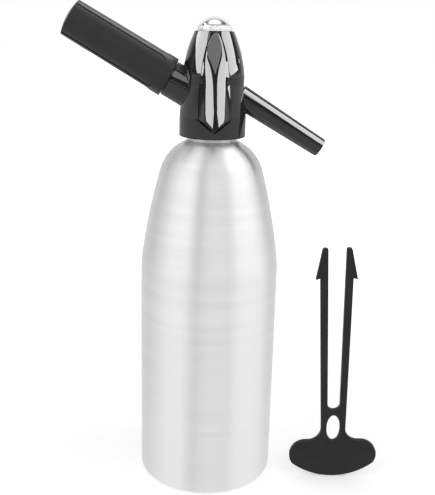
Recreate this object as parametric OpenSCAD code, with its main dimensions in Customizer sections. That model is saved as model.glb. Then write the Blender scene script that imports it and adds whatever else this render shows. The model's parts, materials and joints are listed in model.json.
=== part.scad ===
// Soda siphon: an aluminium one-litre bottle with a screw-on head, a thumb lever, a spout,
// a gas charger in its holder, and a forked key for the riser tube.
// The origin is the centre of the bottle's base. +Z is up, the lever faces -Y,
// the charger holder points to -X and the spout to +X.
// Heights in the head are measured from the rim of the bottle's neck.

/* [Bottle] */
// Outer radius of the straight body
bottle_r = 45; // [42:0.5:50]
// Height of the straight body
body_h = 145; // [120:1:170]
// Wall thickness of the body and shoulder
bottle_wall = 1.8; // [1.2:0.1:2.5]
// Thickness of the base
base_wall = 2.4; // [1.6:0.1:3.5]
// Rounding of the base corner
base_round = 4.2; // [2:0.1:6]
// Radius of the arc where the shoulder starts
shoulder_start_r = 75; // [50:1:110]
// Angle at which that arc ends
shoulder_start_a = 7.5; // [5:0.5:9]
// Radius of the long slow arc of the shoulder
shoulder_long_r = 400; // [300:5:500]
// Radius of the arc that turns in to the neck
shoulder_end_r = 29; // [24:0.5:34]
// Angle at which the shoulder meets the neck
shoulder_end_a = 66.4; // [60:0.2:72]

/* [Neck] */
// Radius where the shoulder ends and the neck starts
neck_root_r = 16.7; // [16.2:0.1:17.2]
// Radius of the neck between its threads
neck_r = 15; // [14.6:0.1:15.2]
// Wall thickness of the neck
neck_wall = 2.6; // [1.8:0.1:3]
// Height of the neck
neck_h = 14; // [13:0.5:16]
// Height of the thread ridge on the neck
neck_thread_h = 0.8; // [0.5:0.1:0.9]
// Pitch of the neck thread
neck_pitch = 3; // [2.6:0.1:3]
// Turns of the neck thread
neck_turns = 2.25; // [1.5:0.25:2.25]
// Depth of the neck thread's start below the rim
neck_thread_start = 9.4; // [9:0.1:9.8]
// Radius of the fillet between the shoulder and the neck
neck_fillet = 0.9; // [0.4:0.1:0.9]

/* [Riser] */
// Outer radius of the riser tube
riser_r = 4; // [3.5:0.1:4.5]
// Wall thickness of the riser tube
riser_wall = 1; // [0.6:0.1:1.2]
// Gap between the riser tube and the inside of the base
riser_foot_gap = 3.6; // [2:0.2:8]
// Length of the riser tube above the riser flange
riser_plug_h = 5; // [4:0.1:5.2]
// Radius of the flange that sits on the neck
flange_r = 14.8; // [14:0.1:14.9]
// Thickness of that flange
flange_t = 2; // [1.5:0.1:2.5]
// Radius of the sleeve that holds the riser tube
sleeve_r = 6.5; // [5.6:0.1:7]
// Length of that sleeve below the flange
sleeve_h = 8; // [5:0.5:12]
// Width of the slot across the riser tube's foot
riser_slot_w = 2; // [1:0.1:2.4]
// Height of that slot
riser_slot_h = 3; // [2:0.5:5]
// Radius of each gas hole
gas_hole_r = 1.2; // [0.8:0.1:1.5]
// Distance of the gas holes from the axis
gas_hole_at = 8.4; // [8:0.1:9]
// Number of gas holes
gas_holes = 4; // [3:1:6]
// Thickness of the gasket under the flange
lower_gasket_t = 1; // [0.8:0.1:1.5]
// Thickness of the gasket over the flange
upper_gasket_t = 1.5; // [1:0.1:2]

/* [Head shell] */
// Outer radius of the skirt
skirt_r = 21.05; // [21:0.05:22]
// Depth of the skirt below the neck's rim
skirt_drop = 11.1; // [10.8:0.1:11.8]
// Height at which the skirt starts to draw in
skirt_top = 1; // [0:0.1:3]
// Radius of the waist
waist_r = 19.3; // [19.1:0.05:19.4]
// How softly the skirt runs into the waist, from straight to eased
skirt_ease = 0.1; // [0:0.05:0.4]
// Height of the waist
waist_z = 21; // [19.5:0.1:22]
// Largest radius above the waist
belly_r = 19.4; // [19.4:0.05:20.2]
// Height of that radius
belly_z = 26; // [25:0.1:28]
// Radius of the flat top
crown_r = 12.15; // [12:0.05:13]
// Bulge of the crown, as an exponent
crown_power = 1.64; // [1.5:0.02:1.9]
// Height of the flat top
crown_z = 53.1; // [52.8:0.1:55]
// Chamfer along the lower edge
skirt_chamfer = 0.5; // [0.2:0.1:0.8]

/* [Neck collar] */
// Radius of the collar's threaded bore
collar_bore_r = 16.1; // [16:0.05:16.3]
// Outer radius of the collar
collar_r = 17.6; // [17.2:0.05:17.8]
// Radius of the bore for the gaskets and the flange
collar_seat_r = 15.2; // [15.1:0.05:15.4]
// Outer radius of the collar at its top
collar_top_r = 15.9; // [15.4:0.05:16.2]
// Thickness of the web that holds the valve block down
collar_web = 2.5; // [1.8:0.1:3]
// Height from the collar's lower edge to the skirt's
collar_inset = 0.8; // [0.4:0.1:1.5]

/* [Valve block] */
// Radius of the valve block
block_r = 12; // [11.6:0.1:12.2]
// Height of the block's top
block_top = 39.1; // [37:0.1:40]
// Thickness of the block's flange
block_flange_t = 2.5; // [2:0.1:3]
// Height of the valve's axis
valve_z = 21.1; // [20.6:0.1:22]
// Place of the valve seat along the valve's axis
seat_y = -2.8; // [-3.2:0.1:-2.6]
// Radius of the inlet chamber
inlet_r = 4.5; // [4.2:0.1:4.8]
// Radius of the outlet chamber
outlet_r = 2.4; // [2.1:0.1:2.8]
// Radius of the water channel above the riser tube
water_r = 2.2; // [1.6:0.1:2.3]
// Radius of the drillings to the spout
drill_r = 1.2; // [0.8:0.1:1.3]
// Distance from the axis to the drilling beside the outlet chamber
cross_drill_x = 7.8; // [7.6:0.1:8]
// Distance of the gas channel from the axis
gas_channel_at = 6.2; // [6:0.1:6.6]

/* [Valve] */
// Radius of the valve pin
pin_r = 1.5; // [1.2:0.05:1.6]
// Radius of the pin's tail in the spring
tail_r = 1.1; // [0.8:0.05:1.2]
// Length of that tail
tail_len = 6.4; // [6.2:0.1:6.8]
// Radius of the pin's collar
pin_collar_r = 3.2; // [2.8:0.1:3.4]
// Thickness of the pin's collar
pin_collar_t = 1.2; // [0.8:0.1:1.6]
// Radius of the rubber disc
disc_r = 3.6; // [3.3:0.1:3.9]
// Thickness of the rubber disc
disc_t = 1.8; // [1.4:0.1:2]
// Radius of the guide bush
bush_r = 4.2; // [3.8:0.1:4.4]
// Length of the guide bush
bush_len = 7.5; // [6:0.1:7.8]
// Place of the bush's inner end along the valve's axis
bush_y = -7.5; // [-7.8:0.1:-7.2]
// Thickness of the seal ring round the pin
pin_seal_t = 1.5; // [1:0.1:1.6]
// Radius of the plug behind the spring
plug_r = 5.2; // [4.9:0.05:5.4]
// Length of the plug behind the spring
plug_len = 4; // [3.6:0.1:4.2]
// Place of the plug's inner end along the valve's axis
plug_y = 6.5; // [6.2:0.1:6.7]
// Width of the groove for a sealing ring
seal_t = 1.2; // [1:0.1:1.4]
// Depth of that groove
seal_depth = 0.8; // [0.6:0.05:0.9]
// Coil radius of the valve spring
valve_coil_r = 2.2; // [1.9:0.1:2.6]
// Wire radius of the valve spring
valve_wire_r = 0.35; // [0.25:0.05:0.45]
// Turns of the valve spring
valve_turns = 4; // [3:1:5]

/* [Lever] */
// Height of the lever's hinge pin
pivot_z = 45.1; // [44:0.1:46]
// Distance of the hinge pin in front of the axis
pivot_y = 8.5; // [8.2:0.1:8.9]
// Angle that the lever is pressed through
lever_swing = 4; // [3:0.5:4.5]
// Half of the lever's width
lever_half = 9.5; // [8.5:0.1:10.5]
// Height of the lever's point under the ring
lever_apex = 52.4; // [51:0.1:52.6]
// Height at which the lever gets its full width
lever_wide = 7.1; // [5:0.1:10]
// Height of the lever's two lower corners
lever_corner = 1.6; // [0:0.1:3]
// Height of the lever's lower tip
lever_tip = -6.1; // [-7.5:0.1:-5]
// Distance from the axis to the ridge at the lower tip
keel_tip_r = 30; // [28.5:0.1:31]
// Distance from the axis to the ridge at the upper point
keel_apex_r = 13.5; // [13.2:0.1:14]
// How strongly the ridge is bowed, from straight to fully curved
keel_bow = 0.5; // [0.4:0.01:0.7]
// Slope of the lever beside its ridge, low down
ridge_slope = 0.44; // [0.3:0.01:0.5]
// Slope of the lever at its shoulders, low down
shoulder_slope = 0.75; // [0.6:0.01:0.8]
// Slope of the lever beside its ridge, at the top
ridge_slope_top = 0.15; // [0:0.01:0.2]
// Slope of the lever at its shoulders, at the top
shoulder_slope_top = 0.35; // [0.25:0.01:0.4]
// Height above which the lever's shoulders grow flatter
flatter_from = 20; // [16:0.5:24]
// Place of the shoulders across the lever, low down, as a share of its half width
shoulder_at = 0.66; // [0.56:0.02:0.7]
// The same share at the top
shoulder_at_top = 0.86; // [0.7:0.02:0.9]
// Width of the rolled edge round the lower tip
rolled_edge = 1.3; // [1:0.1:3]
// Thickness of the lever along its sides
lever_edge = 1.1; // [1:0.05:1.5]
// Depth of the pocket in the head behind the lever
pocket_depth = 2.4; // [2:0.1:2.5]
// Half of the width of the lever's tongue
tongue_half = 3; // [2.4:0.1:3.4]
// Radius of the tongue round the hinge pin
tongue_r = 2.7; // [2.3:0.1:2.8]
// Radius of the hinge pin
lever_pin_r = 1.25; // [1:0.05:1.4]
// Length of the hinge pin
lever_pin_len = 12; // [10:0.5:13]

/* [Top] */
// Radius of the fluted ring
ring_r = 11.15; // [10.9:0.05:11.6]
// Height of the fluted ring
ring_h = 3; // [2.4:0.1:3.6]
// Number of flutes on the ring
ring_flutes = 36; // [24:2:48]
// Radius of each flute
ring_flute_r = 0.55; // [0.3:0.05:0.7]
// Radius of the dome
dome_r = 9.5; // [9:0.05:10]
// Height of the dome's rim
dome_lip = 0.9; // [0.5:0.1:1.5]
// Rise of the dome over its rim
dome_rise = 4.8; // [3:0.1:6]
// Radius of the dome's spigot
spigot_r = 8.5; // [7.5:0.1:8.8]
// Length of the dome's spigot
spigot_h = 2.4; // [1.5:0.1:2.6]
// Radius of the screw's shank
screw_r = 2; // [1.6:0.1:2.2]
// Length of the screw's shank
screw_len = 15; // [13:0.5:18]
// Radius of the screw's head
screw_head_r = 3.6; // [3:0.1:3.8]
// Height of the screw's head
screw_head_h = 2.6; // [2:0.1:3]
// Width across the flats of the screw's socket
screw_hex = 2.5; // [2:0.1:3]
// Height of the screw's seat
screw_seat = 48.1; // [47:0.1:48.6]

/* [Charging port] */
// Height at which the port's axis meets the siphon's axis
port_z = 8.6; // [8.4:0.1:9]
// Rise of the port's axis
port_rise = 30; // [28:0.5:32]
// Radius of the head's boss round the port
boss_r = 11.4; // [11.2:0.1:12]
// Distance along the axis to the end of the boss
boss_end = 31.7; // [31:0.1:33]
// Place of the tail's inner end along the axis
port_tail_s = 8; // [7.6:0.1:8.4]
// Distance from the port's inner end to its sealing ring
port_seal_at = 2.5; // [2:0.1:3]
// Radius of the tail that screws into the valve block
port_tail_r = 4; // [3.8:0.1:4.2]
// Radius of the port's stem
port_stem_r = 6.2; // [5.6:0.1:6.6]
// Place at which the stem starts along the axis
port_stem_s = 17.6; // [17.6:0.1:18.4]
// Length of the port's flange inside the boss
port_flange_len = 4.7; // [3.5:0.1:5.5]
// Radius of the nipple between its threads
nipple_r = 9.2; // [9:0.05:9.4]
// Length of the threaded nipple
nipple_len = 9.3; // [9.2:0.1:10]
// Height of the thread ridge on the nipple
nipple_thread_h = 0.8; // [0.4:0.05:0.8]
// Pitch of the nipple thread
nipple_pitch = 2; // [1.8:0.1:2.2]
// Turns of the nipple thread
nipple_turns = 3.25; // [2:0.25:3.25]
// Distance from the end of the boss to the start of the nipple thread
nipple_thread_start = 1.6; // [1.4:0.1:1.6]
// Radius of the bore for the charger's neck
port_bore_r = 4.2; // [4:0.05:4.4]
// Depth of that bore from the end of the boss to the gasket's seat
gasket_seat = 1.7; // [1.5:0.1:2]
// Length of the straight bore in front of the gasket's seat
port_bore_len = 8; // [7:0.1:8.4]
// Radius of the port's mouth
port_mouth_r = 7.5; // [7:0.1:8]
// Radius of the chamber for the check ball
check_bore_r = 2.2; // [2.1:0.05:2.4]
// Place of the ball's seat along the axis
check_seat_s = 22; // [21:0.1:22.6]
// Radius of the gas channel
gas_r = 1; // [0.7:0.05:1.1]
// Radius of the check ball
ball_r = 1.85; // [1.6:0.05:1.95]
// Radius of the piercing pin's base
pierce_base_r = 2.4; // [2:0.1:2.8]
// Length of the piercing pin's base
pierce_base_len = 2.8; // [2.4:0.1:3]
// Radius of the piercing pin
pierce_r = 0.7; // [0.5:0.05:0.8]
// Length of the piercing pin in front of its base
pierce_len = 4; // [3.4:0.1:4.6]
// Radius of the two gas passages beside the pin
pierce_hole_r = 0.4; // [0.3:0.05:0.5]
// Thickness of the port gasket
port_gasket_t = 1.6; // [1.2:0.1:1.7]
// Wire radius of the check spring
check_wire_r = 0.25; // [0.15:0.05:0.3]
// Coil radius of the check spring
check_coil_r = 1.5; // [1.2:0.1:1.7]
// Turns of the check spring
check_turns = 6; // [4:1:8]

/* [Charger] */
// Radius of the gas charger
charger_r = 9.1; // [8.8:0.05:9.1]
// Length of the gas charger
charger_len = 65.3; // [62:0.1:66]
// Radius of the charger's neck
charger_neck_r = 3.7; // [3.4:0.05:3.9]
// Length of the charger's neck
charger_neck_len = 8; // [8:0.1:9]
// Length of the charger's shoulder
charger_shoulder = 11; // [9:0.5:13]
// Wall thickness of the charger
charger_wall = 1.5; // [1:0.1:1.8]
// Rounding of the charger's base
charger_round = 3; // [2:0.1:4]
// Radius of the pierced hole
charger_hole_r = 1.1; // [1:0.05:1.3]

/* [Charger holder] */
// Outer radius at the end by the head
grip_near_r = 12.9; // [12.7:0.05:13.5]
// Outer radius at the far end
grip_far_r = 12.1; // [11.6:0.05:12.5]
// Gap between the head's boss and the holder
grip_gap = 0.4; // [0.3:0.05:0.6]
// Thickness of the far end at its rim
grip_end_t = 2.55; // [2:0.05:3.5]
// Rise of the far end's dome
grip_end_rise = 1.9; // [1:0.1:2.5]
// Rounding of the holder's edges
grip_round = 0.5; // [0.2:0.1:0.8]
// Length of the threaded bore
grip_thread_len = 13; // [11:0.5:14]
// Number of panels round the grip
panels = 6; // [5:1:7]
// Width of each panel
panel_w = 8.4; // [6:0.1:9]
// Depth of each panel
panel_depth = 0.45; // [0.2:0.05:0.6]
// Distance of the panels from the end by the head
panel_inset = 7; // [5:0.5:12]
// Corner radius of each panel
panel_corner = 3; // [1:0.1:3]
// Turn of the panels round the grip
panel_turn = 28; // [0:1:60]
// Wall thickness of the metal liner
liner_wall = 0.55; // [0.4:0.05:0.6]
// Thickness of the rubber cushion under the charger
cushion_t = 1.6; // [1:0.1:2]

/* [Spout] */
// Height at which the spout's axis meets the siphon's axis
spout_z = 24.1; // [23.8:0.1:24.6]
// Slope of the spout
spout_fall = 31; // [30:0.5:32]
// Distance along the axis to the spout's outlet
spout_len = 81; // [70:0.5:90]
// Radius of the spout at the head
spout_root_r = 7.5; // [6.8:0.05:7.8]
// Radius of the spout at its outlet
spout_tip_r = 6.15; // [5.5:0.05:6.4]
// Radius of the spout's peg in the head
spout_peg_r = 6; // [5.6:0.1:6.2]
// Place at which the peg starts along the axis
spout_peg_s = 18; // [17.8:0.1:18.4]
// Length of the spout's peg
spout_peg_len = 10; // [8:0.5:12]
// Radius of the spout's tail in the valve block
spout_tail_r = 4.1; // [3.8:0.1:4.2]
// Place of the tail's seal along the axis
spout_seal_s = 9.6; // [9.4:0.1:9.8]
// Thickness of that seal
spout_seal_t = 1; // [0.8:0.1:1.2]
// Radius of the spout's channel
spout_bore_r = 2.2; // [1.8:0.1:2.5]
// Radius of the spout's outlet
spout_outlet_r = 3.2; // [2.8:0.1:3.4]
// Length of the wider bore at the outlet
spout_outlet_len = 22; // [10:1:40]

/* [Tube key] */
// Place of the key to the right of the bottle's axis
key_x = 85.9; // [80:0.1:120]
// Place of the key in front of the bottle's axis
key_y = 21.2; // [0:0.1:40]
// Lean of the key towards the bottle
key_lean = 2.4; // [0:0.1:4]
// Turn of the key's face
key_turn = 3.7; // [0:0.1:10]
// Thickness of the key
key_t = 3.8; // [3:0.1:5]
// Radius of the key's curved foot
key_foot_r = 45; // [42:0.5:50]
// Radius of the foot's rounded ends
key_ear_r = 11; // [10.7:0.1:11.2]
// Distance from the key's middle to the centre of each rounded end
key_ear_u = 18.9; // [18.7:0.1:19.1]
// Height of the centre of each rounded end
key_ear_z = 16; // [15.8:0.1:16.3]
// Radius of the fillets between the foot and the stem
key_fillet_r = 9; // [8.6:0.1:9.2]
// Height of the key
key_h = 164.6; // [155:0.1:180]
// Height of the key's barbs
key_barb_z = 143.5; // [130:0.1:150]
// Distance from the key's middle to each barb
key_barb_u = 13.6; // [13:0.1:14.2]
// Half of the key's width where the prongs start
key_stem_half = 8.3; // [7.8:0.1:8.7]
// Half of the key's width under the barbs
key_prong_half = 10.7; // [10.2:0.1:11.4]
// Half of the slot's width at its bottom
key_slot_half = 4.2; // [3.6:0.1:4.5]
// Half of the slot's width at the prongs' ends
key_slot_end = 5.9; // [5.5:0.1:6.3]
// Width of each prong's end
key_tip_w = 3.6; // [3.2:0.1:4]
// Chamfer of each prong's end
key_tip_chamfer = 0.7; // [0.3:0.1:1]
// Height of the undercut of each barb
key_barb_hook = 0.9; // [0.3:0.1:1.5]
// Height of the slot's bottom
key_slot_z = 50.3; // [48.5:0.1:55]
// Height of the eye's centre
key_eye_z = 36.6; // [35:0.1:37.5]
// Half of the eye's width
key_eye_half = 4.6; // [4:0.1:4.8]
// Half of the eye's height
key_eye_rise = 9.8; // [8:0.1:10]
// Width of the thinner border along the key's foot
key_border = 7.8; // [5:0.1:9]
// Height up to which that border runs
key_border_h = 17; // [14:0.5:20]
// Depth of that border on each face
key_border_depth = 0.6; // [0.3:0.1:1]

/* [Fits] */
// Radial clearance of a running fit
run_fit = 0.05; // [0.03:0.01:0.08]
// Radial clearance of a piece fitted in its own seat
seat_fit = 0.05; // [0.02:0.01:0.08]
// Gap between pieces that move past each other
free_gap = 0.3; // [0.3:0.05:0.4]

/* [Hidden] */
$fn = 96;

// A cut runs this far past the face that it opens.
over = 0.5;
// Far enough to pass any piece of the head
far = 60;
// Degrees between the points of an arc
arc_step = 4;
// Millimetres between the rings of a turned outline
ring_step = 2;
// Half of a thread ridge's width at its foot and at its crest, in pitches
thread_foot = 0.36;
thread_crest = 0.14;
// How far a thread ridge is sunk in its core
thread_sunk = 0.4;
// Turns over which a thread ridge runs out at each end, and its points in one turn
thread_runout = 0.2;
thread_rings = 30;

// The shoulder: three arcs that meet in line, given by the angle of the wall
shoulder_long_a = acos((neck_root_r - bottle_r + shoulder_start_r * (1 - cos(shoulder_start_a))
    + shoulder_long_r * cos(shoulder_start_a) - shoulder_end_r * cos(shoulder_end_a))
    / (shoulder_long_r - shoulder_end_r));
arc_1_centre = [bottle_r - shoulder_start_r, body_h];
arc_2_centre = arc_1_centre + (shoulder_start_r - shoulder_long_r) * turned(shoulder_start_a);
arc_3_centre = arc_2_centre + (shoulder_long_r - shoulder_end_r) * turned(shoulder_long_a);
neck_root_z = (arc_3_centre + shoulder_end_r * turned(shoulder_end_a))[1];
rim_z = neck_root_z + neck_h;
neck_bore_r = neck_r - neck_wall;

// Levels in the head, above the neck's rim
flange_z = lower_gasket_t;
upper_gasket_z = flange_z + flange_t;
block_z = upper_gasket_z + upper_gasket_t;
web_z = block_z + block_flange_t;
collar_top = web_z + collar_web;
collar_bottom = collar_inset - skirt_drop;
riser_top = upper_gasket_z + riser_plug_h;
dome_z = crown_z + ring_h;

// Places along the valve's axis
pin_collar_y = seat_y + disc_t;
tail_y = pin_collar_y + pin_collar_t;
valve_stroke = (pivot_z - valve_z) * sin(lever_swing);

// Places along the port's axis
gasket_s = boss_end - gasket_seat;
charger_s = gasket_s + port_gasket_t;
cushion_s = charger_s + charger_len;
grip_s = boss_end + grip_gap;
cavity_end = cushion_s + cushion_t + run_fit;
grip_len = cavity_end + grip_end_t - grip_s;
nipple_end = boss_end + nipple_len;
grip_bore_r = nipple_r + nipple_thread_h + free_gap;
liner_r = charger_r + free_gap + liner_wall;
ball_s = check_seat_s - sqrt(ball_r * ball_r - gas_r * gas_r) - run_fit;

metal_grey = [0.78, 0.79, 0.80];
gloss_black = [0.03, 0.03, 0.035];
matte_black = [0.06, 0.06, 0.065];
chrome = [0.86, 0.87, 0.88];
brass = [0.76, 0.62, 0.32];
steel = [0.62, 0.63, 0.65];
rubber = [0.10, 0.10, 0.11];

// Points and curves
function turned(a) = [cos(a), sin(a)];
function arc(c, r, a0, a1) =
    let (n = max(2, ceil(abs(a1 - a0) / arc_step)))
    [for (i = [0 : n]) c + r * turned(a0 + (a1 - a0) * i / n)];
function steps(a, b, d) =
    let (n = max(1, ceil(abs(b - a) / d)))
    [for (i = [0 : n]) a + (b - a) * i / n];
function mix(a, b, t) = a + (b - a) * t;
function eased(a, b, t) = mix(a, b, (1 - cos(180 * t)) / 2);

// Outer radius of the head at a height
function head_r(z) =
    z <= skirt_top ? skirt_r
    : z <= waist_z ? mix(mix(skirt_r, waist_r, (z - skirt_top) / (waist_z - skirt_top)),
        eased(skirt_r, waist_r, (z - skirt_top) / (waist_z - skirt_top)), skirt_ease)
    : z <= belly_z ? eased(waist_r, belly_r, (z - waist_z) / (belly_z - waist_z))
    : mix(belly_r, crown_r, ((z - belly_z) / (crown_z - belly_z)) ^ crown_power);
head_heights = concat([skirt_chamfer - skirt_drop], steps(skirt_top, waist_z, ring_step),
    steps(waist_z + ring_step, belly_z, ring_step), steps(belly_z + ring_step, crown_z, ring_step));

// The lever: its half width, its ridge, its back and the floor of its pocket at a height
function leaf_half(z) =
    z > lever_wide ? lever_half * sqrt(max(0, 1 - ((z - lever_wide) / (lever_apex - lever_wide)) ^ 2))
    : z >= lever_corner ? lever_half
    : lever_half * max(0, z - lever_tip) / (lever_corner - lever_tip);
function leaf_outline(c, drop = 0) = concat(
    [[0, lever_tip - 1.5 * c - drop], [lever_half + c, lever_corner - c - drop]],
    [for (a = [0 : 6 : 90]) [(lever_half + c) * cos(a), mix(lever_wide, lever_apex + c, sin(a))]],
    [for (a = [84 : -6 : 0]) [-(lever_half + c) * cos(a), mix(lever_wide, lever_apex + c, sin(a))]],
    [[-(lever_half + c), lever_corner - c - drop]]);
function floor_r(z) = head_r(max(z, lever_tip)) - pocket_depth;
function keel_r(z) =
    let (t = max(0, z - lever_tip) / (lever_apex - lever_tip))
    mix(keel_tip_r, keel_apex_r, mix(t, t * t, keel_bow));
tip_travel = (pivot_z - lever_tip) * sin(lever_swing);
lever_sink = (skirt_r + tip_travel - pivot_y) * sin(lever_swing);
function back_r(z) = max(floor_r(z), floor_r(z - lever_sink)) + free_gap
    + max(0, pivot_z - z) * sin(lever_swing);
tongue_sink = (back_r(pivot_z) + lever_edge - pivot_y) * sin(lever_swing);

// A strip of triangles between rings of equal length, with both ends closed
function rings_faces(rows, n) = concat(
    [for (i = [0 : rows - 2], j = [0 : n - 1]) [i * n + j, (i + 1) * n + j, i * n + (j + 1) % n]],
    [for (i = [0 : rows - 2], j = [0 : n - 1])
        [(i + 1) * n + j, (i + 1) * n + (j + 1) % n, i * n + (j + 1) % n]],
    [[for (j = [0 : n - 1]) j]],
    [[for (j = [n - 1 : -1 : 0]) (rows - 1) * n + j]]);

// A helix about Z whose section is a list of [outward, up] points
module helix(r, pitch, turns, section, rings = 24, runout = 0) {
    rows = ceil(turns * rings) + 1;
    points = [for (i = [0 : rows - 1], p = section)
        let (a = 360 * turns * i / (rows - 1),
            grow = runout == 0 ? 1 : min(1, min(i, rows - 1 - i) / (rings * runout)),
            out = r + (p[0] > 0 ? max(p[0] * grow, 0.02) : p[0]))
        [out * cos(a), out * sin(a), pitch * turns * i / (rows - 1) + p[1]]];
    polyhedron(points, rings_faces(rows, len(section)), convexity = 10);
}
function thread_section(h, pitch) = [[-thread_sunk, -thread_foot * pitch],
    [-thread_sunk, thread_foot * pitch], [h, thread_crest * pitch], [h, -thread_crest * pitch]];
module thread(r, h, pitch, turns) {
    helix(r, pitch, turns, thread_section(h, pitch), thread_rings, thread_runout);
}
function wire_section(r) = [for (a = [300 : -60 : 0]) r * turned(a)];

// Frames of the head, the port, the spout and the valve
module at_head() {
    translate([0, 0, rim_z]) children();
}
module at_port(s = 0) {
    translate([0, 0, rim_z + port_z]) rotate([0, port_rise - 90, 0]) translate([0, 0, s]) children();
}
module at_spout(s = 0) {
    translate([0, 0, rim_z + spout_z]) rotate([0, 90 + spout_fall, 0]) translate([0, 0, s]) children();
}
module at_valve(y = 0) {
    translate([0, y, rim_z + valve_z]) rotate([-90, 0, 0]) children();
}
module tube(r, bore, h) {
    difference() {
        cylinder(r = r, h = h);
        translate([0, 0, -over]) cylinder(r = bore, h = h + 2 * over);
    }
}

// Half outline of the bottle, drawn in from the outer wall by a distance
function bottle_side(d) = concat(
    arc(arc_1_centre, shoulder_start_r - d, 0, shoulder_start_a),
    arc(arc_2_centre, shoulder_long_r - d, shoulder_start_a, shoulder_long_a),
    arc(arc_3_centre, shoulder_end_r - d, shoulder_long_a, shoulder_end_a));

module bottle() {
    inner_round = base_round - bottle_wall;
    color(metal_grey) {
        difference() {
            rotate_extrude() polygon(concat([[0, 0]],
                arc([bottle_r - base_round, base_round], base_round, -90, 0),
                bottle_side(0),
                arc([neck_r + neck_fillet, neck_root_z + neck_fillet], neck_fillet, -90, -180),
                [[neck_r, rim_z], [0, rim_z]]));
            rotate_extrude() polygon(concat([[0, base_wall]],
                arc([bottle_r - bottle_wall - inner_round, base_wall + inner_round], inner_round, -90, 0),
                bottle_side(bottle_wall),
                [[neck_bore_r, neck_root_z], [neck_bore_r, rim_z + over], [0, rim_z + over]]));
        }
        translate([0, 0, rim_z - neck_thread_start]) thread(neck_r, neck_thread_h, neck_pitch, neck_turns);
    }
}

module riser_tube() {
    bottom = base_wall + riser_foot_gap;
    color(matte_black) translate([0, 0, bottom]) difference() {
        tube(riser_r, riser_r - riser_wall, rim_z + riser_top - bottom);
        // A slot across the foot lets water in when the foot touches the base.
        translate([-2 * riser_r, -riser_slot_w / 2, -over])
            cube([4 * riser_r, riser_slot_w, riser_slot_h + over]);
    }
}

module riser_flange() {
    color(matte_black) at_head() difference() {
        union() {
            translate([0, 0, flange_z]) cylinder(r = flange_r, h = flange_t);
            translate([0, 0, flange_z - sleeve_h]) cylinder(r = sleeve_r, h = sleeve_h + over);
        }
        translate([0, 0, flange_z - sleeve_h - over])
            cylinder(r = riser_r + seat_fit, h = sleeve_h + flange_t + 2 * over);
        gas_hole_ring(flange_z - over, flange_t + 2 * over);
    }
}

module gas_hole_ring(z, h) {
    for (i = [0 : gas_holes - 1])
        rotate([0, 0, 45 + 360 * i / gas_holes]) translate([gas_hole_at, 0, z])
            cylinder(r = gas_hole_r, h = h);
}

module riser_gasket() {
    color(rubber) at_head() tube(flange_r, neck_bore_r, lower_gasket_t);
}

module head_gasket() {
    color(rubber) at_head() difference() {
        translate([0, 0, upper_gasket_z]) tube(flange_r, riser_r + run_fit, upper_gasket_t);
        gas_hole_ring(upper_gasket_z - over, upper_gasket_t + 2 * over);
    }
}

// The head's outer solid, grown by a clearance, in the head's frame
module head_solid(c = 0) {
    rotate_extrude() polygon(concat(
        [[0, -skirt_drop - c], [skirt_r - skirt_chamfer + c, -skirt_drop - c]],
        [for (z = head_heights) [head_r(z) + c, z]],
        [[0, crown_z]]));
}

// What the lever's pocket leaves standing behind it
module pocket_floor() {
    bottom = lever_tip - lever_sink - 2 * over;
    rotate_extrude() polygon(concat([[0, bottom], [floor_r(lever_tip), bottom]],
        [for (z = steps(lever_tip, lever_apex + over, ring_step)) [floor_r(z), z]],
        [[0, lever_apex + over]]));
}

module neck_collar_solid(c = 0) {
    rotate_extrude() polygon([[0, collar_bottom - c], [collar_r + c, collar_bottom - c],
        [collar_r + c, upper_gasket_z - flange_z], [collar_top_r + c, collar_top],
        [collar_top_r + c, collar_top + c], [0, collar_top + c]]);
}

module head_shell() {
    color(gloss_black) difference() {
        union() {
            at_head() head_solid();
            at_port() cylinder(r = boss_r, h = boss_end);
        }
        at_head() {
            neck_collar_solid(seat_fit);
            translate([0, 0, -skirt_drop - over]) cylinder(r = collar_r + seat_fit, h = skirt_drop + over);
            cylinder(r = block_r + seat_fit, h = block_top);
            translate([0, 0, block_top - over]) cylinder(r = screw_r + seat_fit, h = crown_z);
            translate([0, 0, screw_seat]) cylinder(r = screw_head_r + seat_fit, h = crown_z);
            // The pocket behind the lever
            difference() {
                rotate([90, 0, 0]) linear_extrude(far) polygon(leaf_outline(free_gap, lever_sink));
                pocket_floor();
            }
            // The slots for the lever's tongue and its hinge pin
            translate([-tongue_half - free_gap, -far, pivot_z - tongue_r - free_gap - tongue_sink])
                cube([2 * (tongue_half + free_gap), far - pivot_y + tongue_r + free_gap, far]);
            translate([-lever_pin_len / 2 - free_gap, -pivot_y, pivot_z]) {
                rotate([0, 90, 0]) cylinder(r = lever_pin_r, h = lever_pin_len + 2 * free_gap);
                translate([0, -lever_pin_r, 0]) cube([lever_pin_len + 2 * free_gap, 2 * lever_pin_r, far]);
            }
        }
        at_valve(-far) cylinder(r = bush_r + seat_fit, h = far);
        // The port's seat
        at_port(port_tail_s) cylinder(r = port_tail_r + seat_fit, h = far);
        at_port(port_stem_s) cylinder(r = port_stem_r + seat_fit, h = far);
        at_port(boss_end - port_flange_len)
            cylinder(r = nipple_r + nipple_thread_h + seat_fit, h = far);
        // The spout's seat
        at_spout(spout_seal_s) cylinder(r = spout_tail_r + seat_fit, h = far);
        at_spout(spout_peg_s) cylinder(r = spout_peg_r + seat_fit, h = far);
    }
}

module neck_collar() {
    color(metal_grey) difference() {
        at_head() neck_collar_solid();
        at_head() {
            translate([0, 0, collar_bottom - over])
                cylinder(r = collar_bore_r, h = flange_z / 2 - collar_bottom + over);
            cylinder(r = collar_seat_r, h = web_z);
            cylinder(r = block_r + seat_fit, h = far);
        }
        // The notch for the spout's peg keeps the collar from turning in the head.
        at_spout(spout_peg_s) cylinder(r = spout_peg_r + seat_fit, h = far);
    }
}

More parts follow.
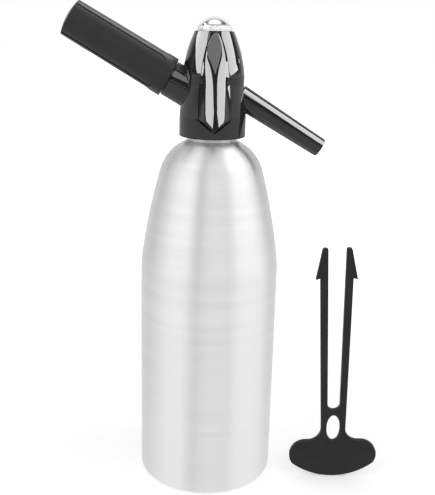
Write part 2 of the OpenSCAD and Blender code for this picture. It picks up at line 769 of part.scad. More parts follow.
module valve_block() {
    color(brass) difference() {
        at_head() translate([0, 0, block_z]) {
            cylinder(r = collar_seat_r - seat_fit, h = block_flange_t);
            cylinder(r = block_r, h = block_top - block_z);
        }
        at_head() {
            // The riser tube's socket and the water channel over it
            translate([0, 0, block_z - over])
                cylinder(r = riser_r + run_fit, h = riser_top + free_gap - block_z + over);
            cylinder(r = water_r, h = valve_z);
            // The gas groove and its channel
            translate([0, 0, block_z - over]) difference() {
                cylinder(r = gas_hole_at + 1.5 * gas_hole_r, h = 2 * over);
                translate([0, 0, -over]) cylinder(r = riser_r + gas_r, h = 4 * over);
            }
            translate([-gas_channel_at, 0, 0])
                cylinder(r = gas_r, h = port_z + gas_channel_at * tan(port_rise));
            translate([0, 0, screw_seat - screw_len - over]) cylinder(r = screw_r, h = far);
        }
        // The cross bores of the valve
        at_valve(seat_y) cylinder(r = inlet_r, h = plug_y - seat_y + over);
        at_valve(plug_y) cylinder(r = plug_r + seat_fit, h = far);
        at_valve(bush_y - over) cylinder(r = outlet_r, h = seat_y - bush_y + 2 * over);
        at_valve(bush_y - far) cylinder(r = bush_r + seat_fit, h = far);
        // The two drillings from the outlet chamber to the spout
        translate([0, (bush_y + pin_seal_t + seat_y) / 2, rim_z + valve_z]) {
            rotate([0, 90, 0]) cylinder(r = drill_r, h = cross_drill_x);
            translate([cross_drill_x, 0, 0]) rotate([-90, 0, 0])
                cylinder(r = drill_r, h = drill_r - (bush_y + pin_seal_t + seat_y) / 2);
        }
        at_spout(spout_seal_s - drill_r) cylinder(r = spout_tail_r - free_gap - drill_r, h = far);
        at_spout(spout_seal_s) cylinder(r = spout_tail_r + seat_fit, h = far);
        // The port's socket
        at_port(port_tail_s - 1.5 * gas_r) cylinder(r = 1.2 * gas_r, h = far);
        at_port(port_tail_s - run_fit) cylinder(r = port_tail_r + seat_fit, h = far);
    }
}

module top_ring() {
    color(chrome) at_head() translate([0, 0, crown_z]) difference() {
        cylinder(r = ring_r, h = ring_h);
        translate([0, 0, -over]) cylinder(r = spigot_r + seat_fit, h = ring_h + 2 * over);
        for (i = [0 : ring_flutes - 1])
            rotate([0, 0, 360 * i / ring_flutes]) translate([ring_r + ring_flute_r / 4, 0, -over])
                cylinder(r = ring_flute_r, h = ring_h + 2 * over, $fn = 24);
    }
}

module top_dome() {
    ball = (dome_r ^ 2 + dome_rise ^ 2) / (2 * dome_rise);
    color(chrome) at_head() translate([0, 0, dome_z]) {
        cylinder(r = dome_r, h = dome_lip);
        translate([0, 0, -spigot_h]) cylinder(r = spigot_r, h = spigot_h + dome_lip / 2);
        intersection() {
            translate([0, 0, dome_lip + dome_rise - ball]) sphere(r = ball);
            translate([0, 0, dome_lip / 2]) cylinder(r = dome_r, h = far);
        }
    }
}

module head_screw() {
    color(steel) at_head() translate([0, 0, screw_seat]) difference() {
        union() {
            cylinder(r = screw_head_r, h = screw_head_h);
            translate([0, 0, -screw_len]) cylinder(r = screw_r, h = screw_len + over);
        }
        translate([0, 0, screw_head_h / 3]) cylinder(d = screw_hex / cos(30), h = far, $fn = 6);
    }
}

module lever_pin() {
    color(steel) at_head() translate([-lever_pin_len / 2, -pivot_y, pivot_z])
        rotate([0, 90, 0]) cylinder(r = lever_pin_r, h = lever_pin_len);
}

// Rows of points from the lever's lower tip to its upper point
leaf_rows = concat(steps(lever_tip + 0.3, lever_corner, 1.1), steps(lever_corner + 1.5, lever_wide, 2),
    [for (a = [6 : 6 : 84]) mix(lever_wide, lever_apex, sin(a))]);
function leaf_across(z) = let (s = shoulder_share(z)) [-1, -(1 + s) / 2, -s, -s * 0.67, -s * 0.33, 0,
    s * 0.33, s * 0.67, s, (1 + s) / 2, 1];
// How flat the lever is at a height, and the share of its half width at which its shoulders lie
function flatness(z) = eased(0, 1, max(0, min(1, (z - flatter_from) / (pivot_z - flatter_from))));
function shoulder_share(z) = mix(shoulder_at, shoulder_at_top, flatness(z));
// The lever's front before its edge is rolled over, its edge, and the share of the edge at a point
function leaf_swell(z, x) =
    let (rise = max(0, min(1, (z - lever_wide) / (pivot_z - lever_wide))),
        from = mix(ridge_slope, ridge_slope_top, rise),
        to = mix(shoulder_slope, shoulder_slope_top, flatness(z)),
        shoulder = shoulder_share(z) * max(1, leaf_half(max(z, lever_wide))))
    keel_r(z) - from * abs(x) - (to - from) * x ^ 2 / (2 * shoulder);
function leaf_brim(z, x) = sqrt((back_r(z) + lever_edge) ^ 2 - x ^ 2);
function leaf_inside(z, x) =
    let (side = max(0.1, leaf_half(max(z, lever_wide))), rise = lever_corner - lever_tip)
    min(1, (side - abs(x)) / (side * (1 - shoulder_share(z))),
        ((z - lever_tip) * lever_half - abs(x) * rise) / (norm([lever_half, rise]) * rolled_edge));
function leaf_front(z, x) =
    mix(leaf_brim(z, x), leaf_swell(z, x), max(0, leaf_inside(z, x)));
module lever_leaf() {
    points = [for (z = leaf_rows) let (half = leaf_half(z), across = half * leaf_across(z)) each concat(
        [for (x = across) [x, -leaf_front(z, x), z]],
        [for (i = [len(across) - 1 : -1 : 0]) [across[i], -sqrt(back_r(z) ^ 2 - across[i] ^ 2), z]])];
    polyhedron(points, rings_faces(len(leaf_rows), 2 * len(leaf_across(0))), convexity = 6);
}
module lever() {
    color(gloss_black) at_head() difference() {
        union() {
            lever_leaf();
            translate([-tongue_half, -pivot_y, pivot_z]) {
                rotate([0, 90, 0]) cylinder(r = tongue_r, h = 2 * tongue_half);
                translate([0, pivot_y - back_r(pivot_z) - lever_edge / 2, -tongue_r])
                    cube([2 * tongue_half, back_r(pivot_z) + lever_edge / 2 - pivot_y, 1.6 * tongue_r]);
            }
        }
        translate([-tongue_half - over, -pivot_y, pivot_z]) rotate([0, 90, 0])
            cylinder(r = lever_pin_r + run_fit, h = 2 * (tongue_half + over));
    }
}

module valve_pin() {
    front = back_r(valve_z) - free_gap;
    color(steel) {
        at_valve(-front) cylinder(r = pin_r, h = front + pin_collar_y + over);
        at_valve(pin_collar_y) cylinder(r = pin_collar_r, h = pin_collar_t);
        at_valve(tail_y - over) cylinder(r = tail_r, h = tail_len + over);
    }
}

module valve_disc() {
    color(rubber) at_valve(seat_y) tube(disc_r, pin_r, disc_t);
}

module valve_bush() {
    color(brass) at_valve(bush_y - bush_len) tube(bush_r, pin_r + run_fit, bush_len);
}

module pin_seal() {
    color(rubber) at_valve(bush_y) tube(outlet_r, pin_r + run_fit, pin_seal_t);
}

module valve_spring() {
    color(steel) at_valve(tail_y + valve_wire_r)
        helix(valve_coil_r, (plug_y - tail_y - 2 * valve_wire_r) / valve_turns, valve_turns,
            wire_section(valve_wire_r), 12);
}

module spring_plug() {
    color(brass) at_valve(plug_y) difference() {
        cylinder(r = plug_r, h = plug_len);
        translate([0, 0, -over])
            cylinder(r = tail_r + run_fit, h = tail_y + tail_len + valve_stroke - plug_y + 2 * over);
        seal_groove(plug_r, plug_len / 2);
    }
}

// A groove for a sealing ring round a cylinder, and the ring in it
module seal_groove(r, z) {
    translate([0, 0, z - seal_t / 2]) tube(r + over, r - seal_depth, seal_t);
}
module seal_ring(r, z) {
    translate([0, 0, z - seal_t / 2]) tube(r, r - seal_depth, seal_t);
}

module plug_seal() {
    color(rubber) at_valve(plug_y) seal_ring(plug_r, plug_len / 2);
}

module charging_port() {
    color(brass) difference() {
        union() {
            at_port(port_tail_s) cylinder(r = port_tail_r, h = boss_end - port_tail_s);
            at_port(port_stem_s) cylinder(r = port_stem_r, h = boss_end - port_stem_s);
            at_port(boss_end - port_flange_len) cylinder(r = nipple_r + nipple_thread_h, h = port_flange_len);
            at_port(boss_end - over) cylinder(r = nipple_r, h = nipple_len + over);
            at_port(boss_end + nipple_thread_start)
                thread(nipple_r, nipple_thread_h, nipple_pitch, nipple_turns);
        }
        at_port(port_tail_s - over) cylinder(r = check_bore_r, h = check_seat_s - port_tail_s + over);
        at_port(check_seat_s - over) cylinder(r = gas_r, h = far);
        at_port(gasket_s - pierce_base_len) cylinder(r = pierce_base_r + seat_fit, h = far);
        at_port(gasket_s) cylinder(r = port_bore_r, h = far);
        at_port(gasket_s + port_bore_len)
            cylinder(r1 = port_bore_r, r2 = port_mouth_r, h = nipple_end - gasket_s - port_bore_len);
        at_port(port_tail_s) seal_groove(port_tail_r, port_seal_at);
    }
}

module port_seal() {
    color(rubber) at_port(port_tail_s) seal_ring(port_tail_r, port_seal_at);
}

module piercing_pin() {
    color(steel) at_port(gasket_s - pierce_base_len) difference() {
        union() {
            cylinder(r = pierce_base_r, h = pierce_base_len);
            cylinder(r = pierce_r, h = pierce_base_len + pierce_len - 2 * pierce_r);
            translate([0, 0, pierce_base_len + pierce_len - 2 * pierce_r])
                cylinder(r1 = pierce_r, r2 = pierce_r / 5, h = 2 * pierce_r);
        }
        // Two gas passages beside the pin
        for (side = [-1, 1])
            translate([side * (pierce_r + 1.25 * pierce_hole_r), 0, -over])
                cylinder(r = pierce_hole_r, h = pierce_base_len + 2 * over);
    }
}

module port_gasket() {
    color(rubber) at_port(gasket_s) tube(port_bore_r - seat_fit, pierce_r + 1, port_gasket_t);
}

module check_ball() {
    color(steel) at_port(ball_s) sphere(r = ball_r);
}

module check_spring() {
    bottom = port_tail_s + check_wire_r;
    top = ball_s - ball_r - check_wire_r;
    color(steel) at_port(bottom)
        helix(check_coil_r, (top - bottom) / check_turns, check_turns, wire_section(check_wire_r), 10);
}

module spout() {
    color(gloss_black) difference() {
        union() {
            difference() {
                at_spout(spout_peg_s)
                    cylinder(r1 = spout_root_r, r2 = spout_tip_r, h = spout_len - spout_peg_s);
                at_head() head_solid();
            }
            at_spout(spout_peg_s) cylinder(r = spout_peg_r, h = spout_peg_len);
            at_spout(spout_seal_s + spout_seal_t) cylinder(r = spout_tail_r, h = spout_peg_s - spout_seal_s);
        }
        at_spout(spout_seal_s) cylinder(r = spout_bore_r, h = spout_len);
        at_spout(spout_len - spout_outlet_len) cylinder(r = spout_outlet_r, h = spout_outlet_len + over);
    }
}

module spout_seal() {
    color(rubber) at_spout(spout_seal_s) tube(spout_tail_r, spout_bore_r, spout_seal_t);
}

// Half outline of the charger from its neck to its base, drawn in by a wall
function charger_side(d) = concat(
    [for (t = steps(0, 1, 1 / 8))
        [eased(charger_neck_r, charger_r, t) - d, charger_neck_len + charger_shoulder * t + d / 2]],
    arc([charger_r - charger_round, charger_len - charger_round], charger_round - d, 0, 90));
module gas_charger() {
    color(steel) at_port(charger_s) difference() {
        rotate_extrude() polygon(concat([[0, 0], [charger_neck_r, 0]], charger_side(0), [[0, charger_len]]));
        rotate_extrude() polygon(concat(
            [[0, charger_wall], [charger_neck_r - charger_wall, charger_wall]],
            charger_side(charger_wall), [[0, charger_len - charger_wall]]));
        translate([0, 0, -over]) cylinder(r = charger_hole_r, h = charger_wall + 2 * over);
    }
}

module holder_cushion() {
    color(rubber) at_port(cushion_s) cylinder(r = charger_r - free_gap, h = cushion_t);
}

// Outer solid of the grip, from its end by the head: a taper with a domed far end
module grip_solid() {
    dome_arc_r = (grip_far_r ^ 2 + grip_end_rise ^ 2) / (2 * grip_end_rise);
    rotate_extrude() polygon(concat([[0, 0], [grip_near_r - grip_round, 0], [grip_near_r, grip_round]],
        arc([grip_far_r - grip_round, grip_len - grip_round], grip_round, 0, 72),
        [for (x = steps(grip_far_r - grip_round, 0, ring_step))
            [x, grip_len + grip_end_rise - dome_arc_r + sqrt(dome_arc_r ^ 2 - x ^ 2)]]));
}

// What the panels leave standing: the same taper, smaller by their depth
module grip_core() {
    full = grip_len + grip_end_rise;
    cylinder(r1 = grip_near_r - panel_depth,
        r2 = mix(grip_near_r, grip_far_r, full / grip_len) - panel_depth, h = full);
}

// The outline of a panel: its rounded end lies towards the head.
module panel_outline() {
    translate([-panel_w / 2, panel_inset + panel_corner]) square([panel_w, grip_len]);
    translate([panel_corner - panel_w / 2, panel_inset]) square([panel_w - 2 * panel_corner, grip_len]);
    for (side = [-1, 1])
        translate([side * (panel_w / 2 - panel_corner), panel_inset + panel_corner]) circle(r = panel_corner);
}

module holder_grip() {
    color(matte_black) difference() {
        at_port(grip_s) difference() {
            grip_solid();
            difference() {
                for (i = [0 : panels - 1])
                    rotate([0, 0, panel_turn + 360 * i / panels]) translate([0, -liner_r, 0])
                        rotate([90, 0, 0]) linear_extrude(grip_near_r) panel_outline();
                grip_core();
            }
        }
        at_port(grip_s - over) cylinder(r = grip_bore_r, h = grip_thread_len + over);
        at_port(grip_s) cylinder(r = liner_r + seat_fit, h = cavity_end - grip_s);
    }
}

module holder_liner() {
    start = grip_s + grip_thread_len;
    color(metal_grey) at_port(start) tube(liner_r, liner_r - liner_wall, cavity_end - start);
}

// The foot's arc ends where it meets the circle of a rounded end.
key_ear_reach = norm([key_ear_u, key_foot_r - key_ear_z]);
key_foot_a = atan2(key_ear_u, key_foot_r - key_ear_z)
    + acos(min(1, (key_foot_r ^ 2 + key_ear_reach ^ 2 - key_ear_r ^ 2) / (2 * key_foot_r * key_ear_reach)));
key_ear_a = atan2(key_foot_r * (1 - cos(key_foot_a)) - key_ear_z, key_foot_r * sin(key_foot_a) - key_ear_u);

// The key is drawn upright on its curved foot, then leant by rolling on that foot.
function key_half() = concat(
    arc([0, key_foot_r], key_foot_r, -90, key_foot_a - 90),
    arc([key_ear_u, key_ear_z], key_ear_r, key_ear_a, 90),
    arc([key_stem_half + key_fillet_r, key_ear_z + key_ear_r + key_fillet_r], key_fillet_r, 270, 180),
    [[key_prong_half, key_barb_z + key_barb_hook], [key_barb_u, key_barb_z],
        [key_slot_end + key_tip_w, key_h - key_tip_chamfer],
        [key_slot_end + key_tip_w - key_tip_chamfer, key_h], [key_slot_end + key_tip_chamfer, key_h],
        [key_slot_end, key_h - key_tip_chamfer]],
    arc([0, key_slot_z + key_slot_half], key_slot_half, 0, -90));
module key_outline() {
    half = key_half();
    last = len(half) - 1;
    polygon(concat(half, [for (i = [last - 1 : -1 : 1]) [-half[i][0], half[i][1]]]));
}
module key_place() {
    translate([key_x, -key_y, key_foot_r]) rotate([0, 0, -key_turn]) rotate([0, -key_lean, 0])
        translate([0, 0, -key_foot_r]) rotate([90, 0, 0]) children();
}
module tube_key() {
    color(matte_black) key_place() difference() {
        translate([0, 0, -key_t / 2]) linear_extrude(key_t) difference() {
            key_outline();
            translate([0, key_eye_z]) polygon([for (a = [0 : 10 : 350])
                [key_eye_half * cos(a), key_eye_rise * sin(a)]]);
        }
        // The thinner border on both faces of the foot
        for (side = [0, 1]) mirror([0, 0, side])
            translate([0, 0, key_t / 2 - key_border_depth]) linear_extrude(key_t) difference() {
                translate([-key_foot_r, -over]) square([2 * key_foot_r, key_border_h + over]);
                translate([0, key_foot_r]) circle(r = key_foot_r - key_border);
            }
    }
}

bottle();
riser_tube();
riser_flange();
riser_gasket();
head_gasket();
head_shell();
neck_collar();
valve_block();
top_ring();
top_dome();
head_screw();
lever_pin();
valve_bush();
pin_seal();
spring_plug();
plug_seal();
charging_port();
port_seal();
piercing_pin();
port_gasket();
check_ball();
check_spring();
spout();
spout_seal();
lever();
valve_pin();
valve_disc();
valve_spring();
gas_charger();
holder_cushion();
holder_grip();
holder_liner();
tube_key();
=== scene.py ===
"""A one-litre soda siphon: aluminium bottle, black head with its thumb lever, spout, charger holder and tube key."""

import json
from math import asin, cos, hypot, pi, radians, sin, sqrt, tau

import bmesh
import bpy
from mathutils import Matrix, Vector


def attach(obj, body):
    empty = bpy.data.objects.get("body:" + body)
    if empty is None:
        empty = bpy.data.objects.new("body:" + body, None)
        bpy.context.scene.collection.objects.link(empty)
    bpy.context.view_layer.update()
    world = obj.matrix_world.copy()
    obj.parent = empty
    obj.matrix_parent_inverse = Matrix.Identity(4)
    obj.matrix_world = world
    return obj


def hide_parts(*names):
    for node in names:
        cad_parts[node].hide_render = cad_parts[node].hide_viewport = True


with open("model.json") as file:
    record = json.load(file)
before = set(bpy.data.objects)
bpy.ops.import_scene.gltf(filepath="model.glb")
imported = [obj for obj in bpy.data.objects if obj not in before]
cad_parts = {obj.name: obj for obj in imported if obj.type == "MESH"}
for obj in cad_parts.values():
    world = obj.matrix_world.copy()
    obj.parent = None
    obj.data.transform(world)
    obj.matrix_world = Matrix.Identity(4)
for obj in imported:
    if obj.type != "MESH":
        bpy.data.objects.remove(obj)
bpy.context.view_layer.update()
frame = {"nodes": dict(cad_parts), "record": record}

# Everything is drawn in millimetres and made metres when its piece is finished.
METRES = Matrix.Scale(0.001, 4)

# Heights and axes that the pieces share. Heights on the head are counted from the bottle's rim.
NECK_ROOT_Z = 229.008
RIM_Z = 243.008
HEAD = Matrix.Translation((0, 0, RIM_Z))
PORT_Z, PORT_RISE = 8.6, 30
SPOUT_Z, SPOUT_FALL = 24.1, 31
VALVE_Z = 21.1

# A step too small to see, which keeps two points apart, and a tool's overlap with what it cuts
HAIR = 0.02
OVER = 1


def along_port(s):
    return (Matrix.Translation((0, 0, RIM_Z + PORT_Z))
            @ Matrix.Rotation(radians(PORT_RISE - 90), 4, "Y") @ Matrix.Translation((0, 0, s)))


def along_spout(s):
    return (Matrix.Translation((0, 0, RIM_Z + SPOUT_Z))
            @ Matrix.Rotation(radians(90 + SPOUT_FALL), 4, "Y") @ Matrix.Translation((0, 0, s)))


def along_valve(y):
    return (Matrix.Translation((0, y, RIM_Z + VALVE_Z)) @ Matrix.Rotation(radians(-90), 4, "X"))


class Outline:
    """A line drawn point by point in the XZ plane, ready to be turned or filled."""

    def __init__(self, x, z):
        self.bm = bmesh.new()
        self.start = self.tip = self.bm.verts.new((x, 0, z))

    def to(self, x, z):
        point = self.bm.verts.new((x, 0, z))
        self.bm.edges.new((self.tip, point))
        self.tip = point
        return self

    def through(self, points):
        for x, z in points:
            self.to(x, z)
        return self

    def arc(self, x, z, degrees, steps):
        """Swings the tip about (x, z), anticlockwise for a positive angle."""
        swung = bmesh.ops.spin(self.bm, geom=[self.tip], cent=(x, 0, z), axis=(0, -1, 0),
                               angle=radians(degrees), steps=steps)
        self.tip = next(v for v in swung["geom_last"] if isinstance(v, bmesh.types.BMVert))
        return self

    def close(self):
        self.bm.edges.new((self.tip, self.start))
        return self

    def turned(self, steps=192):
        bm = self.bm
        bmesh.ops.spin(bm, geom=bm.verts[:] + bm.edges[:], cent=(0, 0, 0), axis=(0, 0, 1),
                       angle=tau, steps=steps, use_merge=True)
        return clean(bm)

    def filled(self, depth):
        """Fills the closed line and gives it a depth along +Y."""
        bm = self.bm
        face = bmesh.ops.contextual_create(bm, geom=bm.edges[:])["faces"]
        grown = bmesh.ops.extrude_face_region(bm, geom=face, use_keep_orig=True)
        moved = [v for v in grown["geom"] if isinstance(v, bmesh.types.BMVert)]
        bmesh.ops.translate(bm, vec=(0, depth, 0), verts=moved)
        return clean(bm)


def clean(bm, gap=1e-4):
    bmesh.ops.remove_doubles(bm, verts=bm.verts, dist=gap)
    bmesh.ops.dissolve_degenerate(bm, dist=gap, edges=bm.edges)
    bmesh.ops.recalc_face_normals(bm, faces=bm.faces)
    return bm


def placed(bm, matrix):
    bmesh.ops.transform(bm, matrix=matrix, verts=bm.verts)
    return bm


def solid(name, bm):
    mesh = bpy.data.meshes.new(name)
    bm.to_mesh(mesh)
    bm.free()
    obj = bpy.data.objects.new(name, mesh)
    bpy.context.scene.collection.objects.link(obj)
    return obj


def cut(body, tools, how="DIFFERENCE"):
    """Cuts each tool from the body, or joins it on, and removes the tool."""
    for tool in tools:
        step = body.modifiers.new("cut", "BOOLEAN")
        step.operation, step.solver, step.object = how, "EXACT", tool
    settle(body)
    for tool in tools:
        bpy.data.objects.remove(tool)
    return body


def settle(obj):
    """Makes the modifiers' result the mesh itself."""
    shaped = obj.evaluated_get(bpy.context.evaluated_depsgraph_get())
    mesh = bpy.data.meshes.new_from_object(shaped)
    obj.modifiers.clear()
    obj.data = mesh
    return obj


def rod(r, length, matrix, r_end=None, steps=96):
    """A closed round bar along its own Z."""
    bm = bmesh.new()
    bmesh.ops.create_cone(bm, cap_ends=True, segments=steps, radius1=r,
                          radius2=r if r_end is None else r_end, depth=length)
    bmesh.ops.translate(bm, vec=(0, 0, length / 2), verts=bm.verts)
    return solid("rod", placed(bm, matrix))


def block(low, high, matrix=Matrix()):
    bm = bmesh.new()
    bmesh.ops.create_cube(bm, size=1)
    low, high = Vector(low), Vector(high)
    bmesh.ops.scale(bm, vec=high - low, verts=bm.verts)
    bmesh.ops.translate(bm, vec=(low + high) / 2, verts=bm.verts)
    return solid("block", placed(bm, matrix))


def finished(name, obj, body, finish, nodes, sharp=35):
    """Makes a solid drawn in millimetres a piece of the siphon."""
    bm = bmesh.new()
    bm.from_mesh(obj.data)
    clean(bm)
    placed(bm, METRES)
    mesh = bpy.data.meshes.new(name)
    bm.to_mesh(mesh)
    bm.free()
    mesh.shade_smooth()
    mesh.set_sharp_from_angle(angle=radians(sharp))
    mesh.materials.clear()
    mesh.materials.append(finish)
    obj.data = mesh
    obj.name = name
    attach(obj, body)
    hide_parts(*nodes)


# Finishes

# The part of a noise's range that is spread over a finish's own range
NOISE_SPAN = (0.3, 0.7)


class Finish:
    """A node material on Object coordinates with one Principled shader."""

    def __init__(self, name, colour, roughness, metallic=0.0, **sockets):
        self.material = bpy.data.materials.new(name)
        self.material.use_nodes = True
        self.tree = self.material.node_tree
        self.shader = self.tree.nodes["Principled BSDF"]
        self.set(self.shader, **{"Base Color": (*colour, 1), "Roughness": roughness, "Metallic": metallic})
        self.set(self.shader, **sockets)
        self.coords = self.add("ShaderNodeTexCoord").outputs["Object"]

    def add(self, kind, **settings):
        node = self.tree.nodes.new(kind)
        for key, value in settings.items():
            setattr(node, key, value)
        return node

    def set(self, node, **sockets):
        for key, value in sockets.items():
            node.inputs[key].default_value = value

    def link(self, a, b):
        self.tree.links.new(a, b)

    def noise(self, scale, detail, stretch=(1, 1, 1), roughness=0.55):
        spread = self.add("ShaderNodeMapping")
        self.set(spread, Scale=stretch)
        self.link(self.coords, spread.inputs["Vector"])
        grain = self.add("ShaderNodeTexNoise")
        self.set(grain, Scale=scale, Detail=detail, Roughness=roughness)
        self.link(spread.outputs["Vector"], grain.inputs["Vector"])
        return grain.outputs["Fac"]

    def vary_roughness(self, value, low, high):
        span = self.add("ShaderNodeMapRange")
        self.set(span, **{"From Min": NOISE_SPAN[0], "From Max": NOISE_SPAN[1], "To Min": low, "To Max": high})
        self.link(value, span.inputs["Value"])
        self.link(span.outputs["Result"], self.shader.inputs["Roughness"])

    def vary_colour(self, value, dark, light):
        ramp = self.add("ShaderNodeValToRGB")
        for stop, place, colour in zip(ramp.color_ramp.elements, NOISE_SPAN, (dark, light)):
            stop.position, stop.color = place, (*colour, 1)
        self.link(value, ramp.inputs["Fac"])
        self.link(ramp.outputs["Color"], self.shader.inputs["Base Color"])

    def bump(self, value, depth, strength, socket="Normal"):
        raised = self.add("ShaderNodeBump")
        self.set(raised, Strength=strength, Distance=depth)
        self.link(value, raised.inputs["Height"])
        self.link(raised.outputs["Normal"], self.shader.inputs[socket])
        return self


def brushed_aluminium():
    f = Finish("brushed_aluminium", (0.90, 0.90, 0.90), 0.5, 1.0, **{
        "Anisotropic": 0.97, "Anisotropic Rotation": 0.25})
    lines = f.noise(6, 4, (1, 1, 420), 0.7)
    f.vary_colour(lines, (0.878, 0.878, 0.88), (0.918, 0.918, 0.918))
    f.vary_roughness(f.noise(9, 3, (1, 1, 30)), 0.39, 0.45)
    return f.bump(lines, 0.00002, 0.35).material


def gloss_black():
    f = Finish("gloss_black", (0.012, 0.012, 0.013), 0.5, **{
        "Specular IOR Level": 0.0, "Coat Weight": 1.0, "Coat Roughness": 0.0, "Coat IOR": 1.65})
    f.vary_colour(f.noise(25, 2), (0.010, 0.010, 0.011), (0.015, 0.015, 0.017))
    return f.bump(f.noise(140, 2), 0.00002, 0.12, "Coat Normal").material


def satin_black():
    f = Finish("satin_black", (0.017, 0.017, 0.018), 0.42, **{"Specular IOR Level": 0.2})
    grain = f.noise(2600, 2)
    f.vary_colour(f.noise(40, 4), (0.0135, 0.0135, 0.014), (0.020, 0.020, 0.021))
    f.vary_roughness(f.noise(180, 3), 0.36, 0.46)
    return f.bump(grain, 0.00003, 0.35).material


def silk_black():
    f = Finish("silk_black", (0.011, 0.011, 0.012), 0.3, **{"Specular IOR Level": 0.4})
    f.vary_colour(f.noise(40, 4), (0.008, 0.008, 0.009), (0.013, 0.013, 0.014))
    f.vary_roughness(f.noise(180, 3), 0.25, 0.34)
    return f.bump(f.noise(1800, 2), 0.00003, 0.25).material


def polished_chrome():
    f = Finish("polished_chrome", (0.90, 0.90, 0.90), 0.0, 1.0)
    f.vary_colour(f.noise(60, 2), (0.86, 0.86, 0.865), (0.93, 0.93, 0.93))
    return f.bump(f.noise(500, 2), 0.00001, 0.1).material


def ring_metal():
    f = Finish("ring_metal", (0.88, 0.88, 0.89), 0.08, 1.0)
    f.vary_colour(f.noise(90, 3), (0.86, 0.865, 0.875), (0.91, 0.91, 0.915))
    f.vary_roughness(f.noise(220, 4), 0.05, 0.11)
    return f.bump(f.noise(900, 2), 0.00001, 0.1).material


def machined(name, dark, light, rough, rings=(1, 1, 1)):
    f = Finish(name, light, rough, 1.0)
    f.vary_colour(f.noise(120, 4), dark, light)
    turning = f.noise(400, 3, rings)
    f.vary_roughness(turning, rough * 0.8, rough * 1.25)
    return f.bump(turning, 0.00002, 0.3).material


def moulded_rubber():
    f = Finish("moulded_rubber", (0.03, 0.03, 0.032), 0.7, **{"Specular IOR Level": 0.35})
    f.vary_colour(f.noise(200, 3), (0.022, 0.022, 0.024), (0.042, 0.042, 0.045))
    f.vary_roughness(f.noise(300, 2), 0.62, 0.78)
    return f.bump(f.noise(1500, 3), 0.00004, 0.4).material


ALUMINIUM = brushed_aluminium()
GLOSS = gloss_black()
SATIN = satin_black()
SILK = silk_black()
RING_METAL = ring_metal()
CHROME = polished_chrome()
BRASS = machined("turned_brass", (0.62, 0.47, 0.20), (0.74, 0.59, 0.28), 0.28)
STEEL = machined("plated_steel", (0.55, 0.56, 0.58), (0.68, 0.69, 0.71), 0.22)
PLAIN_ALUMINIUM = machined("turned_aluminium", (0.72, 0.73, 0.74), (0.80, 0.81, 0.82), 0.32)
RUBBER = moulded_rubber()

SLOT_FINISH = {"brushed_aluminium": ALUMINIUM, "gloss_black": GLOSS, "matte_black": SATIN, "chrome": CHROME,
               "brass": BRASS, "steel": STEEL, "aluminium": PLAIN_ALUMINIUM, "rubber": RUBBER}


def dress_inner_pieces():
    """Every CAD node takes the finish of its slot; the outer ones are then replaced."""
    for entry in frame["record"]["subparts"]:
        for place in frame["nodes"][entry["node"]].material_slots:
            place.material = SLOT_FINISH[entry["material_slot"]]


# Bottle

BOTTLE_R = 45
BODY_H = 145
BOTTLE_WALL = 1.8
BASE_WALL = 2.4
BASE_ROUND = 4.2
# Radius and end angle of each arc of the shoulder; the middle one's end is worked out
SHOULDER = ((75, 7.5), (400, None), (29, 66.4))
NECK_ROOT_R = 16.7
NECK_R = 15
NECK_BORE_R = 12.4
NECK_FILLET = 0.9
NECK_EDGE = 0.4
WALL_RING_Z = 60
THREAD_HEIGHT, THREAD_PITCH, THREAD_TURNS, THREAD_DROP = 0.8, 3.0, 2.25, 9.4
# Half of the ridge's width at its root and at its crest, as shares of the pitch
THREAD_ROOT, THREAD_CREST, THREAD_SUNK = 0.36, 0.14, 0.4


def shoulder_arcs():
    """Centre, radius and the two wall angles of each arc of the shoulder."""
    (r1, a1), (r2, _), (r3, a3) = SHOULDER
    reach = (NECK_ROOT_R - BOTTLE_R + r1 * (1 - cos(radians(a1))) + r2 * cos(radians(a1))
             - r3 * cos(radians(a3))) / (r2 - r3)
    a2 = 90 - asin(reach) * 180 / pi
    c1 = Vector((BOTTLE_R - r1, BODY_H))
    c2 = c1 + (r1 - r2) * Vector((cos(radians(a1)), sin(radians(a1))))
    c3 = c2 + (r2 - r3) * Vector((cos(radians(a2)), sin(radians(a2))))
    return (c1, r1, 0, a1), (c2, r2, a1, a2), (c3, r3, a2, a3)


def make_bottle():
    arcs = shoulder_arcs()
    side = Outline(0, 0).to(BOTTLE_R - BASE_ROUND, 0)
    side.arc(BOTTLE_R - BASE_ROUND, BASE_ROUND, 90, 10).to(BOTTLE_R, WALL_RING_Z).to(BOTTLE_R, BODY_H)
    for (centre, _, a0, a1), steps in zip(arcs, (6, 14, 16)):
        side.arc(centre.x, centre.y, a1 - a0, steps)
    side.to(NECK_R + NECK_FILLET, NECK_ROOT_Z).arc(NECK_R + NECK_FILLET, NECK_ROOT_Z + NECK_FILLET, -90, 5)
    side.to(NECK_R, RIM_Z - NECK_EDGE).to(NECK_R - NECK_EDGE, RIM_Z).to(NECK_BORE_R + NECK_EDGE, RIM_Z)
    side.to(NECK_BORE_R, RIM_Z - NECK_EDGE).to(NECK_BORE_R, NECK_ROOT_Z)
    for (centre, r, a0, a1), steps in zip(reversed(arcs), (12, 10, 5)):
        inner = r - BOTTLE_WALL
        side.to(centre.x + inner * cos(radians(a1)), centre.y + inner * sin(radians(a1)))
        side.arc(centre.x, centre.y, a0 - a1, steps)
    inner_round = BASE_ROUND - BOTTLE_WALL
    side.to(BOTTLE_R - BOTTLE_WALL, BASE_WALL + inner_round)
    side.arc(BOTTLE_R - BOTTLE_WALL - inner_round, BASE_WALL + inner_round, -90, 6).to(0, BASE_WALL)
    wall = solid("bottle_wall", side.turned(224))
    cut(wall, [helix_ridge(NECK_R, THREAD_HEIGHT, THREAD_PITCH, THREAD_TURNS, RIM_Z - THREAD_DROP)], "UNION")
    finished("bottle_shell", wall, "bottle", ALUMINIUM, ["bottle"])


